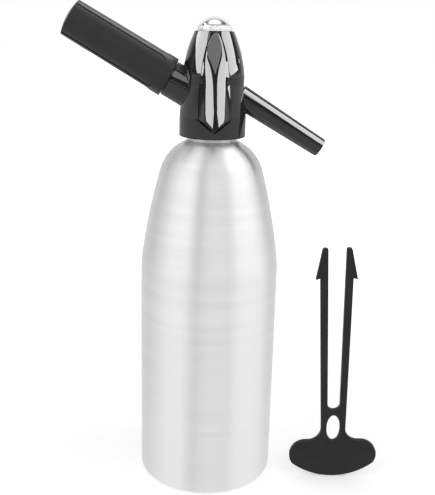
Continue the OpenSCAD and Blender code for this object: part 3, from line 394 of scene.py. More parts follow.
def helix_ridge(r, height, pitch, turns, z, steps_per_turn=48, run_out=0.2):
    """A thread ridge that fades in and out of a cylinder of radius r."""
    root, crest = THREAD_ROOT * pitch, THREAD_CREST * pitch
    ridge = Outline(r - THREAD_SUNK, -root).to(r - THREAD_SUNK, root)
    ridge.to(r + height, crest).to(r + height, -crest).close()
    bm, steps = ridge.bm, int(turns * steps_per_turn)
    bmesh.ops.spin(bm, geom=bm.verts[:] + bm.edges[:], cent=(0, 0, 0), axis=(0, 0, 1),
                   angle=tau * turns, steps=steps, dvec=(0, 0, pitch * turns / steps))
    for v in bm.verts:
        around = (v.co.z + root) / pitch
        grow = max(0.0, min(1.0, around / run_out, (turns + THREAD_ROOT - around) / run_out))
        out = hypot(v.co.x, v.co.y)
        if out > r:
            v.co.xy = v.co.xy * ((r + max(HAIR, height * grow)) / out)
    bmesh.ops.holes_fill(bm, edges=[e for e in bm.edges if e.is_boundary], sides=4)
    clean(bm)
    return solid("ridge", placed(bm, Matrix.Translation((0, 0, z))))


# Head

SKIRT_R, SKIRT_TOP, SKIRT_DROP, SKIRT_CHAMFER = 21.05, 1, 11.1, 0.5
SKIRT_EASE = 0.1
WAIST_R, WAIST_Z = 19.3, 21
BELLY_R, BELLY_Z = 19.4, 26
CROWN_R, CROWN_Z, CROWN_POWER = 12.15, 53.1, 1.64
BLOCK_R, BLOCK_TOP = 12.05, 39.1
BOSS_R, BOSS_END = 11.4, 31.7
BOSS_START, BOSS_EDGE = 4, 0.5
POCKET_DEPTH = 2.4
FREE_GAP = 0.3
# The shell's seats for the screw and the collar, each with its play
SCREW_SEAT, SCREW_HEAD_R, SCREW_R = 48.1, 3.65, 2.05
COLLAR_R, COLLAR_Z, COLLAR_TOP_R, COLLAR_TOP, SOCKET_END = 17.65, 2.0, 15.95, 9.5, 9.55
# Radius of each bore, its start on its axis, and its length
VALVE_BORE = (4.25, -45, 40)
PORT_BORES = ((4.05, 8, 40), (6.25, 17.6, 40), (10.05, 27, 20))
SPOUT_BORES = ((4.15, 9.6, 40), (6.05, 18, 40))


def mix(a, b, t):
    return a + (b - a) * t


def eased(a, b, t):
    return mix(a, b, (1 - cos(pi * t)) / 2)


def head_r(z):
    if z <= SKIRT_TOP:
        return SKIRT_R
    if z <= WAIST_Z:
        t = (z - SKIRT_TOP) / (WAIST_Z - SKIRT_TOP)
        return mix(mix(SKIRT_R, WAIST_R, t), eased(SKIRT_R, WAIST_R, t), SKIRT_EASE)
    if z <= BELLY_Z:
        return eased(WAIST_R, BELLY_R, (z - WAIST_Z) / (BELLY_Z - WAIST_Z))
    return mix(BELLY_R, CROWN_R, ((z - BELLY_Z) / (CROWN_Z - BELLY_Z)) ** CROWN_POWER)


def heights(a, b, n):
    return [a + (b - a) * i / n for i in range(n + 1)]


# Thumb lever

PIVOT_Y, PIVOT_Z = 8.5, 45.1
SWING = radians(4)
LEVER_HALF, LEVER_APEX, LEVER_WIDE, LEVER_CORNER, LEVER_TIP = 9.5, 52.4, 7.1, 1.6, -6.1
KEEL_TIP_R, KEEL_APEX_R, KEEL_BOW = 30, 13.5, 0.5
RIDGE_SLOPE, SHOULDER_SLOPE, SHOULDER_AT = (0.44, 0.15), (0.75, 0.35), (0.66, 0.86)
FLATTER_FROM = 20
ROLLED_EDGE = 1.3
LEVER_EDGE = 1.1
# How much further the leaf's outline grows at its tip than at its sides
TIP_SPREAD = 1.5
TONGUE_HALF, TONGUE_R, TONGUE_TOP = 3, 2.7, 1.6
# The leaf's grid: even rows for the first share of them, up to a share of the apex's height
LEAF_ACROSS, LEAF_ALONG = 40, 96
LEAF_START, LEAF_EVEN_SHARE, LEAF_EVEN_TO = 0.05, 0.82, 0.86
TONGUE_SLOT_Y, TONGUE_SLOT_TOP, POCKET_REACH = 30, 60, 60
PIN_R, PIN_HALF, PIN_BORE_R = 1.25, 6.3, 1.3
LEVER_SINK = (SKIRT_R + (PIVOT_Z - LEVER_TIP) * sin(SWING) - PIVOT_Y) * sin(SWING)


def leaf_half(z):
    if z > LEVER_WIDE:
        return LEVER_HALF * sqrt(max(0, 1 - ((z - LEVER_WIDE) / (LEVER_APEX - LEVER_WIDE)) ** 2))
    if z >= LEVER_CORNER:
        return LEVER_HALF
    return LEVER_HALF * max(0, z - LEVER_TIP) / (LEVER_CORNER - LEVER_TIP)


def floor_r(z):
    return head_r(max(z, LEVER_TIP)) - POCKET_DEPTH


def keel_r(z):
    t = max(0, z - LEVER_TIP) / (LEVER_APEX - LEVER_TIP)
    return mix(KEEL_TIP_R, KEEL_APEX_R, mix(t, t * t, KEEL_BOW))


def back_r(z):
    return max(floor_r(z), floor_r(z - LEVER_SINK)) + FREE_GAP + max(0, PIVOT_Z - z) * sin(SWING)


def flatness(z):
    return eased(0, 1, max(0, min(1, (z - FLATTER_FROM) / (PIVOT_Z - FLATTER_FROM))))


def leaf_front(x, z):
    """The lever's front: slopes that fall away from the ridge, and an edge that is rolled over."""
    x = abs(x)
    side = max(0.1, leaf_half(max(z, LEVER_WIDE)))
    rise = max(0, min(1, (z - LEVER_WIDE) / (PIVOT_Z - LEVER_WIDE)))
    flat = flatness(z)
    near, far = mix(*RIDGE_SLOPE, rise), mix(*SHOULDER_SLOPE, flat)
    share = mix(*SHOULDER_AT, flat)
    swell = keel_r(z) - near * x - (far - near) * x * x / (2 * share * max(1, side))
    brim = sqrt((back_r(z) + LEVER_EDGE) ** 2 - x * x)
    rise = LEVER_CORNER - LEVER_TIP
    from_tip = ((z - LEVER_TIP) * LEVER_HALF - x * rise) / (hypot(LEVER_HALF, rise) * ROLLED_EDGE)
    inside = max(0, min(1, (side - x) / (side * (1 - share)), from_tip))
    return mix(brim, swell, inside)


def leaf_prism(c, drop, depth):
    """The leaf's outline grown by c, drawn through the head from its axis to the front."""
    edge = Outline(0, LEVER_TIP - TIP_SPREAD * c - drop).to(LEVER_HALF + c, LEVER_CORNER - c - drop)
    rise = LEVER_APEX + c - LEVER_WIDE
    steps = 30
    for i in range(steps + 1):
        a = pi * i / steps
        edge.to((LEVER_HALF + c) * cos(a), LEVER_WIDE + rise * sin(a))
    edge.to(-LEVER_HALF - c, LEVER_CORNER - c - drop).close()
    bm = edge.filled(depth)
    bmesh.ops.translate(bm, vec=(0, -depth, 0), verts=bm.verts)
    return solid("leaf_prism", bm)


def pocket_core():
    """What the lever's pocket leaves standing in the head."""
    bottom, top = LEVER_TIP - LEVER_SINK - OVER, LEVER_APEX + OVER / 2
    core = Outline(0, bottom).to(floor_r(LEVER_TIP), bottom)
    core.through((floor_r(z), z) for z in heights(LEVER_TIP, top, 40))
    core.to(0, top)
    return solid("pocket_core", core.turned(128))


def across_pivot(r, half):
    """A round bar along the lever's hinge."""
    return rod(r, 2 * half, HEAD @ Matrix.Translation((-half, -PIVOT_Y, PIVOT_Z)) @ Matrix.Rotation(pi / 2, 4, "Y"))


def make_head():
    skin = Outline(CROWN_R - HAIR, CROWN_Z).to(SCREW_HEAD_R, CROWN_Z).to(SCREW_HEAD_R, SCREW_SEAT)
    skin.to(SCREW_R, SCREW_SEAT).to(SCREW_R, BLOCK_TOP).to(BLOCK_R, BLOCK_TOP).to(BLOCK_R, SOCKET_END)
    skin.to(COLLAR_TOP_R, SOCKET_END).to(COLLAR_TOP_R, COLLAR_TOP).to(COLLAR_R, COLLAR_Z)
    skin.to(COLLAR_R, -SKIRT_DROP).to(SKIRT_R - SKIRT_CHAMFER, -SKIRT_DROP)
    skin.arc(SKIRT_R - SKIRT_CHAMFER, SKIRT_CHAMFER - SKIRT_DROP, 90, 5)
    skin.through((head_r(z), z) for z in heights(SKIRT_TOP, WAIST_Z, 14))
    skin.through((head_r(z), z) for z in heights(WAIST_Z, BELLY_Z, 16)[1:])
    skin.through((head_r(z), z) for z in heights(BELLY_Z, CROWN_Z, 34)[1:])
    skin.close()
    shell = solid("shell", placed(skin.turned(256), HEAD))
    boss = Outline(0, BOSS_START).to(BOSS_R, BOSS_START).to(BOSS_R, BOSS_END - BOSS_EDGE)
    boss.arc(BOSS_R - BOSS_EDGE, BOSS_END - BOSS_EDGE, 90, 4).to(0, BOSS_END)
    boss = solid("boss", placed(boss.turned(160), along_port(0)))
    inner = Outline(0, -OVER).to(COLLAR_R, -OVER).to(COLLAR_R, COLLAR_Z).to(COLLAR_TOP_R, COLLAR_TOP)
    inner.to(BLOCK_R, SOCKET_END).to(BLOCK_R, BLOCK_TOP).to(0, BLOCK_TOP)
    inner = solid("inner", placed(inner.turned(128), HEAD))
    cut(boss, [inner])
    cut(shell, [boss], "UNION")
    pocket = leaf_prism(FREE_GAP, LEVER_SINK, POCKET_REACH)
    cut(pocket, [pocket_core()])
    pocket.data.transform(HEAD)
    tongue_drop = (back_r(PIVOT_Z) + LEVER_EDGE - PIVOT_Y) * sin(SWING)
    half, swept = TONGUE_HALF + FREE_GAP, TONGUE_R + FREE_GAP
    slots = [
        pocket,
        block((-half, -TONGUE_SLOT_Y, PIVOT_Z - swept - tongue_drop), (half, swept - PIVOT_Y, TONGUE_SLOT_TOP), HEAD),
        across_pivot(PIN_R, PIN_HALF),
    ]
    for axis, bores in ((along_valve, (VALVE_BORE,)), (along_port, PORT_BORES), (along_spout, SPOUT_BORES)):
        slots += [rod(r, length, axis(start)) for r, start, length in bores]
    cut(shell, slots)
    finished("head_cover", shell, "head", GLOSS, ["head_shell"], 40)


def leaf_height(t):
    """Height of a row of the leaf's grid. The rows lie closer together towards the rounded top."""
    first, even = LEVER_TIP + LEAF_START, LEVER_APEX * LEAF_EVEN_TO - LEVER_TIP
    if t < LEAF_EVEN_SHARE:
        return first + even * t / LEAF_EVEN_SHARE
    start = first + even
    return start + (LEVER_APEX - HAIR - start) * sin(pi / 2 * (t - LEAF_EVEN_SHARE) / (1 - LEAF_EVEN_SHARE))


def make_lever():
    """The leaf: a fine grid laid on the ridge form, a second one behind it, and their rims joined."""
    leaf = bmesh.new()
    bmesh.ops.create_grid(leaf, x_segments=LEAF_ACROSS, y_segments=LEAF_ALONG, size=1)
    front = leaf.verts[:]
    rim = [e for e in leaf.edges if e.is_boundary]
    back = bmesh.ops.duplicate(leaf, geom=leaf.verts[:] + leaf.edges[:] + leaf.faces[:])
    behind = [v for v in back["geom"] if isinstance(v, bmesh.types.BMVert)]
    far_rim = [e for e in back["geom"] if isinstance(e, bmesh.types.BMEdge) and e.is_boundary]
    for v in front:
        u, z = v.co.x, leaf_height((v.co.y + 1) / 2)
        x = u * leaf_half(z)
        v.co = (x, -leaf_front(x, z), z)
    for v in behind:
        u, z = v.co.x, leaf_height((v.co.y + 1) / 2)
        x = u * leaf_half(z)
        v.co = (x, -sqrt(max(1, back_r(z) ** 2 - x * x)), z)
    bmesh.ops.bridge_loops(leaf, edges=rim + far_rim)
    leaf = solid("leaf", placed(clean(leaf, 0.004), HEAD))
    root = back_r(PIVOT_Z)
    tongue = [across_pivot(TONGUE_R, TONGUE_HALF),
              block((-TONGUE_HALF, -root - LEVER_EDGE / 2, PIVOT_Z - TONGUE_R),
                    (TONGUE_HALF, -PIVOT_Y, PIVOT_Z + TONGUE_TOP), HEAD)]
    cut(leaf, tongue, "UNION")
    cut(leaf, [across_pivot(PIN_BORE_R, TONGUE_HALF + OVER)])
    finished("thumb_lever", leaf, "lever", GLOSS, ["lever"], 30)


# Ring and dome on the crown

RING_R, RING_H, RING_BORE_R, RING_EDGE = 11.15, 3.0, 8.55, 0.25
# The flutes' number and depth, half their width as a share of the pitch, and the radius outside which they lie
FLUTES, FLUTE_DEPTH, FLUTE_HALF, FLUTES_FROM_R = 36, 0.41, 0.3, 9.2
DOME_R, DOME_LIP, DOME_RISE, DOME_EDGE = 9.5, 0.9, 4.8, 0.2
SPIGOT_R, SPIGOT_H = 8.5, 2.4


def make_ring():
    steps_per_flute = 12
    band = Outline(RING_BORE_R, 0).to(RING_R - RING_EDGE, 0).arc(RING_R - RING_EDGE, RING_EDGE, 90, 3)
    band.to(RING_R, RING_H - RING_EDGE).arc(RING_R - RING_EDGE, RING_H - RING_EDGE, 90, 3)
    band.to(RING_BORE_R, RING_H).close()
    bm = band.turned(FLUTES * steps_per_flute)
    for v in bm.verts:
        out = hypot(v.co.x, v.co.y)
        if out > FLUTES_FROM_R:
            turn = (Vector((v.co.x, v.co.y)).angle_signed(Vector((1, 0))) * FLUTES / tau) % 1
            valley = max(0.0, 1 - (min(turn, 1 - turn) / FLUTE_HALF) ** 2)
            v.co.xy = v.co.xy * ((out - FLUTE_DEPTH * sqrt(valley)) / out)
    ring = solid("ring", placed(bm, HEAD @ Matrix.Translation((0, 0, CROWN_Z))))
    finished("fluted_ring", ring, "head", RING_METAL, ["top_ring"], 45)


def make_dome():
    ball = (DOME_R ** 2 + DOME_RISE ** 2) / (2 * DOME_RISE)
    half = asin(DOME_R / ball) * 180 / pi
    cap = Outline(0, -SPIGOT_H).to(SPIGOT_R, -SPIGOT_H).to(SPIGOT_R, 0)
    cap.to(DOME_R - DOME_EDGE, 0).arc(DOME_R - DOME_EDGE, DOME_EDGE, 90, 3)
    cap.to(DOME_R, DOME_LIP).arc(0, DOME_LIP + DOME_RISE - ball, half, 28)
    dome = solid("dome", placed(cap.turned(160), HEAD @ Matrix.Translation((0, 0, CROWN_Z + RING_H))))
    finished("polished_dome", dome, "head", CHROME, ["top_dome"], 30)


# Spout

SPOUT_PEG_S, SPOUT_LEN, SPOUT_ROOT_R, SPOUT_TIP_R = 18, 81, 7.5, 6.15
SPOUT_TAIL_S, SPOUT_TAIL_R, SPOUT_PEG_R, SPOUT_CONE_S = 10.6, 4.1, 6.0, 19.2
SPOUT_BORE_R, SPOUT_OUTLET_R, SPOUT_OUTLET_LEN, SPOUT_EDGE, SPOUT_OUTLET_EDGE = 2.2, 3.2, 22, 0.5, 0.4


def make_spout():
    end_r, mouth_r = SPOUT_TIP_R + HAIR / 2, SPOUT_OUTLET_R + SPOUT_OUTLET_EDGE
    widening = SPOUT_LEN - SPOUT_OUTLET_LEN
    pipe = Outline(SPOUT_BORE_R, SPOUT_TAIL_S).to(SPOUT_TAIL_R, SPOUT_TAIL_S).to(SPOUT_TAIL_R, SPOUT_PEG_S)
    pipe.to(SPOUT_PEG_R, SPOUT_PEG_S).to(SPOUT_PEG_R, SPOUT_CONE_S).to(SPOUT_ROOT_R - HAIR, SPOUT_CONE_S)
    pipe.to(end_r, SPOUT_LEN - SPOUT_EDGE).arc(end_r - SPOUT_EDGE, SPOUT_LEN - SPOUT_EDGE, 90, 5)
    pipe.to(mouth_r, SPOUT_LEN).arc(mouth_r, SPOUT_LEN - SPOUT_OUTLET_EDGE, 90, 3)
    pipe.to(SPOUT_OUTLET_R, widening).to(SPOUT_BORE_R, widening).close()
    spout = solid("pipe", placed(pipe.turned(160), along_spout(0)))
    finished("pouring_spout", spout, "head", GLOSS, ["spout"], 40)


# Charger holder

GRIP_S, GRIP_LEN, GRIP_NEAR_R, GRIP_FAR_R, GRIP_RISE, GRIP_ROUND = 32.1, 69.0, 12.9, 12.1, 1.9, 0.5
# The rim arcs' angles stop short of 90 at the cone's slope and at the domed end
GRIP_NEAR_ARC, GRIP_FAR_ARC, GRIP_DOME_INSET = 88, 72, 0.6
GRIP_THREAD_R, GRIP_THREAD_LEN, CAVITY_R, CAVITY_END_S = 10.3, 13, 10, 98.55
PANELS, PANEL_W, PANEL_DEPTH, PANEL_INSET, PANEL_CORNER, PANEL_TURN = 6, 10.4, 0.45, 7.0, 3.0, 28
# The panel cutters' depth and the distance of their outer face from the axis
CUTTER_DEPTH, CUTTER_AT = 8, 17
# By how much the cone under the panels narrows in its part past the end
CORE_TAPER = 0.03


def make_grip():
    dome_r = (GRIP_FAR_R ** 2 + GRIP_RISE ** 2) / (2 * GRIP_RISE)
    cavity, near, far = CAVITY_END_S - GRIP_S, GRIP_NEAR_R - GRIP_ROUND, GRIP_FAR_R - GRIP_ROUND
    skin = Outline(GRIP_THREAD_R, 0).to(near, 0).arc(near, GRIP_ROUND, GRIP_NEAR_ARC, 5)
    skin.to(GRIP_FAR_R, GRIP_LEN - GRIP_ROUND).arc(far, GRIP_LEN - GRIP_ROUND, GRIP_FAR_ARC, 5)
    skin.through((x, GRIP_LEN + GRIP_RISE - dome_r + sqrt(dome_r ** 2 - x * x))
                 for x in heights(far - GRIP_DOME_INSET, 0, 12))
    skin.to(0, cavity).to(CAVITY_R, cavity).to(CAVITY_R, GRIP_THREAD_LEN).to(GRIP_THREAD_R, GRIP_THREAD_LEN).close()
    grip = solid("grip", skin.turned(192))
    full = GRIP_LEN + GRIP_RISE
    end_r = GRIP_NEAR_R + (GRIP_FAR_R - GRIP_NEAR_R) * full / GRIP_LEN
    half = PANEL_W / 2
    panels = []
    for i in range(PANELS):
        shape = Outline(-half, full + OVER).to(-half, PANEL_INSET + PANEL_CORNER)
        shape.arc(PANEL_CORNER - half, PANEL_INSET + PANEL_CORNER, 90, 8)
        shape.to(half - PANEL_CORNER, PANEL_INSET)
        shape.arc(half - PANEL_CORNER, PANEL_INSET + PANEL_CORNER, 90, 8).to(half, full + OVER).close()
        bm = shape.filled(CUTTER_DEPTH)
        bmesh.ops.translate(bm, vec=(0, -CUTTER_AT, 0), verts=bm.verts)
        panel = solid("panel", placed(bm, Matrix.Rotation(radians(PANEL_TURN + 360 * i / PANELS), 4, "Z")))
        core = rod(GRIP_NEAR_R - PANEL_DEPTH, full + 2 * OVER, Matrix(), end_r - PANEL_DEPTH - CORE_TAPER, 192)
        panels.append(cut(panel, [core]))
    cut(grip, panels)
    grip.data.transform(along_port(GRIP_S))
    finished("charger_holder", grip, "holder", SILK, ["holder_grip"], 30)


# Tube key

KEY_X, KEY_Y, KEY_LEAN, KEY_TURN, KEY_T = 85.9, 21.2, 2.4, 3.7, 3.8
KEY_FOOT_R, KEY_FOOT_A, KEY_EAR_R, KEY_EAR_U, KEY_EAR_Z, KEY_FILLET_R = 45, 38.361, 11, 18.9, 16, 9
KEY_H, KEY_BARB_Z, KEY_BARB_U, KEY_STEM_HALF, KEY_PRONG_HALF = 164.6, 143.5, 13.6, 8.3, 10.7
KEY_SLOT_HALF, KEY_SLOT_END, KEY_TIP_W, KEY_SLOT_Z = 4.2, 5.9, 3.6, 50.3
KEY_EYE_Z, KEY_EYE_HALF, KEY_EYE_RISE = 36.6, 4.6, 9.8
# The ear's arc in degrees: where it starts, and how far it sweeps
KEY_EAR_FROM, KEY_EAR_SWEEP = -34.848, 124.848
KEY_BARB_HOOK, KEY_TIP_CHAMFER, KEY_EDGE = 0.9, 0.7, 0.28
KEY_BORDER, KEY_BORDER_H, KEY_BORDER_DEPTH = 7.8, 17, 0.6
# Lengths of the tools that cut the eye and the foot's border, and the tools' reach past the key's face
EYE_TOOL, BORDER_TOOL, BORDER_REACH = 20, 30, 6


def key_place():
    return (Matrix.Translation((KEY_X, -KEY_Y, KEY_FOOT_R)) @ Matrix.Rotation(radians(-KEY_TURN), 4, "Z")
            @ Matrix.Rotation(radians(-KEY_LEAN), 4, "Y") @ Matrix.Translation((0, 0, -KEY_FOOT_R)))


def make_key():
    half = Outline(0, 0).arc(0, KEY_FOOT_R, KEY_FOOT_A, 20)
    ear = radians(KEY_EAR_FROM)
    half.to(KEY_EAR_U + KEY_EAR_R * cos(ear), KEY_EAR_Z + KEY_EAR_R * sin(ear))
    half.arc(KEY_EAR_U, KEY_EAR_Z, KEY_EAR_SWEEP, 20)
    turn = (KEY_STEM_HALF + KEY_FILLET_R, KEY_EAR_Z + KEY_EAR_R + KEY_FILLET_R)
    half.to(turn[0], turn[1] - KEY_FILLET_R).arc(*turn, -90, 12)
    half.to(KEY_PRONG_HALF, KEY_BARB_Z + KEY_BARB_HOOK).to(KEY_BARB_U, KEY_BARB_Z)
    tip, chamfer = KEY_SLOT_END + KEY_TIP_W, KEY_TIP_CHAMFER
    half.to(tip, KEY_H - chamfer).to(tip - chamfer, KEY_H)
    half.to(KEY_SLOT_END + chamfer, KEY_H).to(KEY_SLOT_END, KEY_H - chamfer)
    half.to(KEY_SLOT_HALF, KEY_SLOT_Z + KEY_SLOT_HALF).arc(0, KEY_SLOT_Z + KEY_SLOT_HALF, -90, 12)
    half.to(0, 0)
    bm = half.bm
    bmesh.ops.remove_doubles(bm, verts=bm.verts, dist=1e-3)
    bmesh.ops.contextual_create(bm, geom=bm.edges[:])
    bmesh.ops.mirror(bm, geom=bm.verts[:] + bm.edges[:] + bm.faces[:], axis="X", merge_dist=1e-3)
    seam = [e for e in bm.edges if all(abs(v.co.x) < 1e-4 for v in e.verts)]
    bmesh.ops.dissolve_edges(bm, edges=seam)
    bmesh.ops.recalc_face_normals(bm, faces=bm.faces)
    grown = bmesh.ops.extrude_face_region(bm, geom=bm.faces[:], use_keep_orig=True)
    moved = [v for v in grown["geom"] if isinstance(v, bmesh.types.BMVert)]
    bmesh.ops.translate(bm, vec=(0, KEY_T, 0), verts=moved)
    bmesh.ops.translate(bm, vec=(0, -KEY_T / 2, 0), verts=bm.verts)
    key = solid("key", clean(bm))
    eye = rod(1, EYE_TOOL, Matrix.Translation((0, EYE_TOOL / 2, KEY_EYE_Z))
              @ Matrix.Diagonal((KEY_EYE_HALF, 1, KEY_EYE_RISE, 1)) @ Matrix.Rotation(pi / 2, 4, "X"), steps=64)
    cut(key, [eye])
    borders = []
    for side in (-1, 1):
        keep = rod(KEY_FOOT_R - KEY_BORDER, BORDER_TOOL, Matrix.Translation((0, BORDER_TOOL / 2, KEY_FOOT_R))
                   @ Matrix.Rotation(pi / 2, 4, "X"), steps=160)
        low, high = sorted((side * (KEY_T / 2 - KEY_BORDER_DEPTH), side * BORDER_REACH))
        strip = block((-KEY_FOOT_R, low, -OVER / 2), (KEY_FOOT_R, high, KEY_BORDER_H))
        borders.append(cut(strip, [keep]))
    cut(key, borders)
    edge = key.modifiers.new("edge", "BEVEL")
    edge.width, edge.segments, edge.limit_method, edge.angle_limit = KEY_EDGE, 2, "ANGLE", radians(50)
    settle(key)
    key.data.transform(key_place())
    finished("lifting_key", key, "key", SATIN, ["tube_key"], 30)
    # No mirror image of the key can be made out in the photograph's bottle
    key.visible_glossy = False


# Stage, lights and camera. Lengths are in metres from here on.

FLOOR_R, FLOOR_SINK, FLOOR_COLOUR = 7, 0.0002, 0.86
# The floor's own light rises to full strength between these distances from the siphon
SHADOW_SPAN = (0.25, 0.7)
FLOOR_OWN_LIGHT = 0.3
# In a mirror the floor fades to dark between these depths in front of the siphon
FLOOR_FADE, FLOOR_FAR_TONE = (-2.8, -1.6), 0.05
FLOOR_IN_MIRROR = 0.6
SOFTBOX_AT = 1.6
STUDIO_CENTRE = (0, 0, 0.275)
FLOOR_IN_SOFT_FACES = 0.9
BAND_LIGHT = 1.52
# The studio round a dull face, by azimuth: two wide panels, a front fill, and the darker gaps between them
PANEL_TONE, FILL_TONE, GAP_TONE, ROOM_TONE = 0.9, 0.65, 0.3, 0.5
LEFT_PANEL, FRONT_FILL, RIGHT_PANEL = (-75, -45), (-10, 20), (50, 95)
LEFT_GAP, RIGHT_GAP, SIDE_GAP = -25, 33, 122
WALL_LIGHT = 0.8
CEILING_LIGHT = 1.0
ROOM_LIGHT = 0.12
# Where the studio's wall, low rim and ceiling set in, as parts of a view direction
WALL_SPAN, LOW_SPAN, CEILING_SPAN = (0.25, 0.75), (0.1, 0.03), (0.82, 0.95)
LAMP_LIGHT, HIGH_LIGHT, GRIP_LIGHT = 9.5, 2.4, 4.0
# The camera as it was fitted to the photograph
FOCAL_PX, PICTURE_PX, SENSOR_MM = 786.75, 495, 36
CAMERA_AT = (-0.02707, -0.49921, 0.30249)
CAMERA_RIGHT = (0.99804521, -0.0573589, 0.02481375)
CAMERA_UP = (-0.00787356, 0.27847832, 0.96041024)
CAMERA_FORWARD = (0.06199817, 0.95872821, -0.27748234)


class Stage:
    """The node tree of a stage surface or of the world."""

    def __init__(self, name, owner=None):
        self.owner = owner or bpy.data.materials.new(name)
        self.owner.use_nodes = True
        self.tree = self.owner.node_tree
        self.tree.nodes.clear()

    def add(self, kind):
        return self.tree.nodes.new(kind)

    def link(self, a, b):
        self.tree.links.new(a, b)

    def maths(self, kind, a, b):
        node = self.add("ShaderNodeMath")
        node.operation = kind
        for socket, value in zip(node.inputs, (a, b)):
            if isinstance(value, float):
                socket.default_value = value
            else:
                self.link(value, socket)
        return node.outputs[0]

    def span(self, value, a, b, low, high):
        node = self.add("ShaderNodeMapRange")
        node.interpolation_type = "SMOOTHSTEP"
        for key, number in (("From Min", a), ("From Max", b), ("To Min", low), ("To Max", high)):
            node.inputs[key].default_value = number
        self.link(value, node.inputs["Value"])
        return node.outputs["Result"]

    def pick(self, which, no, yes):
        node = self.add("ShaderNodeMix")
        for socket, value in ((node.inputs[0], which), (node.inputs[2], no), (node.inputs[3], yes)):
            if isinstance(value, float):
                socket.default_value = value
            else:
                self.link(value, socket)
        return node.outputs[0]

    def closed(self, shade, output="ShaderNodeOutputMaterial"):
        self.link(shade, self.add(output).inputs["Surface"])
        return self.owner


def make_floor():
    """A pale floor: white to the camera apart from the shadow, and plain greys in reflections."""
    bm = bmesh.new()
    bmesh.ops.create_circle(bm, cap_ends=True, segments=96, radius=FLOOR_R)
    bmesh.ops.translate(bm, vec=(0, 0, -FLOOR_SINK), verts=bm.verts)
    floor = solid("floor", bm)
    nodes = Stage("pale_floor")
    cover = nodes.add("ShaderNodeBsdfDiffuse")
    cover.inputs["Color"].default_value = (FLOOR_COLOUR, FLOOR_COLOUR, FLOOR_COLOUR, 1)
    path = nodes.add("ShaderNodeLightPath")
    own_light = nodes.add("ShaderNodeEmission")
    place = nodes.add("ShaderNodeSeparateXYZ")
    here = nodes.add("ShaderNodeTexCoord").outputs["Object"]
    nodes.link(here, place.inputs[0])
    reach = nodes.add("ShaderNodeVectorMath")
    reach.operation = "LENGTH"
    nodes.link(here, reach.inputs[0])
    own = nodes.span(reach.outputs["Value"], *SHADOW_SPAN, FLOOR_OWN_LIGHT, 1.0)
    nodes.link(nodes.maths("MULTIPLY", path.outputs["Is Camera Ray"], own), own_light.inputs["Strength"])
    seen = nodes.add("ShaderNodeAddShader")
    nodes.link(cover.outputs[0], seen.inputs[0])
    nodes.link(own_light.outputs[0], seen.inputs[1])
    mirrored = nodes.add("ShaderNodeEmission")
    clear = nodes.span(place.outputs["Y"], *FLOOR_FADE, FLOOR_FAR_TONE, FLOOR_IN_MIRROR)
    nodes.link(nodes.pick(path.outputs["Is Singular Ray"], FLOOR_IN_SOFT_FACES, clear), mirrored.inputs["Strength"])
    both = nodes.add("ShaderNodeMixShader")
    nodes.link(path.outputs["Is Glossy Ray"], both.inputs[0])
    nodes.link(seen.outputs[0], both.inputs[1])
    nodes.link(mirrored.outputs[0], both.inputs[2])
    floor.data.materials.append(nodes.closed(both.outputs[0]))
    nodes.owner.cycles.emission_sampling = "NONE"


def direction(azimuth, elevation):
    """Unit vector to a place in the studio: azimuth from the front towards the right."""
    a, e = radians(azimuth), radians(elevation)
    return Vector((sin(a) * cos(e), -cos(a) * cos(e), sin(e)))


def softbox(name, corners, strength, polished=True):
    """A glowing sheet whose corners lie in the given directions from the head, for polished or for dull faces."""
    bm = bmesh.new()
    centre = Vector(STUDIO_CENTRE)
    points = [bm.verts.new(centre + SOFTBOX_AT * direction(*c)) for c in corners]
    bm.faces.new(points)
    sheet = solid(name, bm)
    nodes = Stage(name)
    glow = nodes.add("ShaderNodeEmission")
    glow.inputs["Strength"].default_value = strength
    clear = nodes.add("ShaderNodeBsdfTransparent")
    both = nodes.add("ShaderNodeMixShader")
    nodes.link(nodes.add("ShaderNodeLightPath").outputs["Is Singular Ray"], both.inputs[0])
    nodes.link(clear.outputs[0], both.inputs[1 if polished else 2])
    nodes.link(glow.outputs[0], both.inputs[2 if polished else 1])
    sheet.data.materials.append(nodes.closed(both.outputs[0]))
    nodes.owner.cycles.emission_sampling = "NONE"
    sheet.visible_camera = False
    sheet.visible_shadow = False
    sheet.visible_diffuse = False


def make_studio():
    softbox("left_softbox", [(-50, 5.8), (-66, 5.8), (-81, 17.6), (-93, 22.5), (-117, 24), (-117, 50), (-44, 50),
                             (-41.5, 37), (-43, 27), (-44.5, 20)], LAMP_LIGHT)
    softbox("right_softbox", [(61.9, 2.9), (101, 7), (94, 12.3), (100, 28), (104, 50), (47, 50), (42, 34),
                              (46.5, 22), (53, 13.5)], LAMP_LIGHT)
    softbox("high_softbox", [(0, 22), (40, 28), (46, 40), (30, 60), (-30, 60), (-46, 40), (-40, 28)], HIGH_LIGHT)
    softbox("small_lamp", [(115, 9), (117.2, 9), (117.2, 11.4), (115, 11.4)], LAMP_LIGHT)
    softbox("grip_lamp", [(112, 42), (158, 42), (165, 68), (105, 68)], GRIP_LIGHT, polished=False)


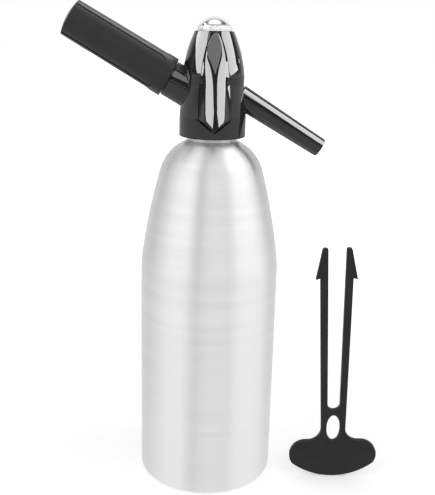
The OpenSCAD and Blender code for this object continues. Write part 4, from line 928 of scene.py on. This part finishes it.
def make_world():
    """White for the camera, a soft studio with upright bands for dull faces, a plainer one for polished faces."""
    world = bpy.data.worlds.new("studio")
    bpy.context.scene.world = world
    nodes = Stage("studio", world)
    split = nodes.add("ShaderNodeSeparateXYZ")
    nodes.link(nodes.add("ShaderNodeTexCoord").outputs["Generated"], split.inputs[0])
    behind = nodes.span(split.outputs["Y"], *WALL_SPAN, 0.0, WALL_LIGHT)
    low = nodes.span(split.outputs["Z"], *LOW_SPAN, 0.0, FLOOR_IN_MIRROR)
    high = nodes.span(split.outputs["Z"], *CEILING_SPAN, 0.0, CEILING_LIGHT)
    clear = nodes.maths("ADD", nodes.maths("MAXIMUM", nodes.maths("MAXIMUM", behind, low), high), ROOM_LIGHT)
    # Azimuth from behind, over the left, as a share of the full turn
    turn = nodes.maths("ARCTAN2", split.outputs["X"], nodes.maths("MULTIPLY", split.outputs["Y"], -1.0))
    share = nodes.maths("ADD", nodes.maths("MULTIPLY", turn, 0.5 / pi), 0.5)
    bands = nodes.add("ShaderNodeValToRGB")
    tones = [(a, PANEL_TONE) for a in LEFT_PANEL + RIGHT_PANEL] + [(a, FILL_TONE) for a in FRONT_FILL]
    tones += [(LEFT_GAP, GAP_TONE), (SIDE_GAP, GAP_TONE), (-SIDE_GAP, GAP_TONE), (RIGHT_GAP, ROOM_TONE)]
    for azimuth, tone in tones:
        bands.color_ramp.elements.new(azimuth / 360 + 0.5).color = (tone, tone, tone, 1)
    for end in (0, -1):
        bands.color_ramp.elements[end].color = (ROOM_TONE, ROOM_TONE, ROOM_TONE, 1)
    nodes.link(share, bands.inputs["Fac"])
    path = nodes.add("ShaderNodeLightPath")
    soft = nodes.maths("MULTIPLY", bands.outputs["Color"], BAND_LIGHT)
    seen = nodes.maths("MAXIMUM", path.outputs["Is Camera Ray"], path.outputs["Is Transmission Ray"])
    sky = nodes.add("ShaderNodeBackground")
    sky.inputs["Color"].default_value = (1, 1, 1, 1)
    lit = nodes.pick(path.outputs["Is Singular Ray"], soft, clear)
    nodes.link(nodes.pick(seen, lit, 1.0), sky.inputs["Strength"])
    nodes.closed(sky.outputs[0], "ShaderNodeOutputWorld")


def make_camera():
    data = bpy.data.cameras.new("camera")
    data.sensor_width = SENSOR_MM
    data.lens = FOCAL_PX / PICTURE_PX * SENSOR_MM
    data.clip_start, data.clip_end = 0.01, 50
    camera = bpy.data.objects.new("camera", data)
    bpy.context.scene.collection.objects.link(camera)
    turn = Matrix((Vector(CAMERA_RIGHT), Vector(CAMERA_UP), -Vector(CAMERA_FORWARD))).transposed().to_4x4()
    camera.matrix_world = Matrix.Translation(CAMERA_AT) @ turn
    bpy.context.scene.camera = camera


dress_inner_pieces()
make_bottle()
make_head()
make_lever()
make_ring()
make_dome()
make_spout()
make_grip()
make_key()
make_floor()
make_studio()
make_world()
make_camera()
bpy.context.scene.view_settings.view_transform = "Standard"
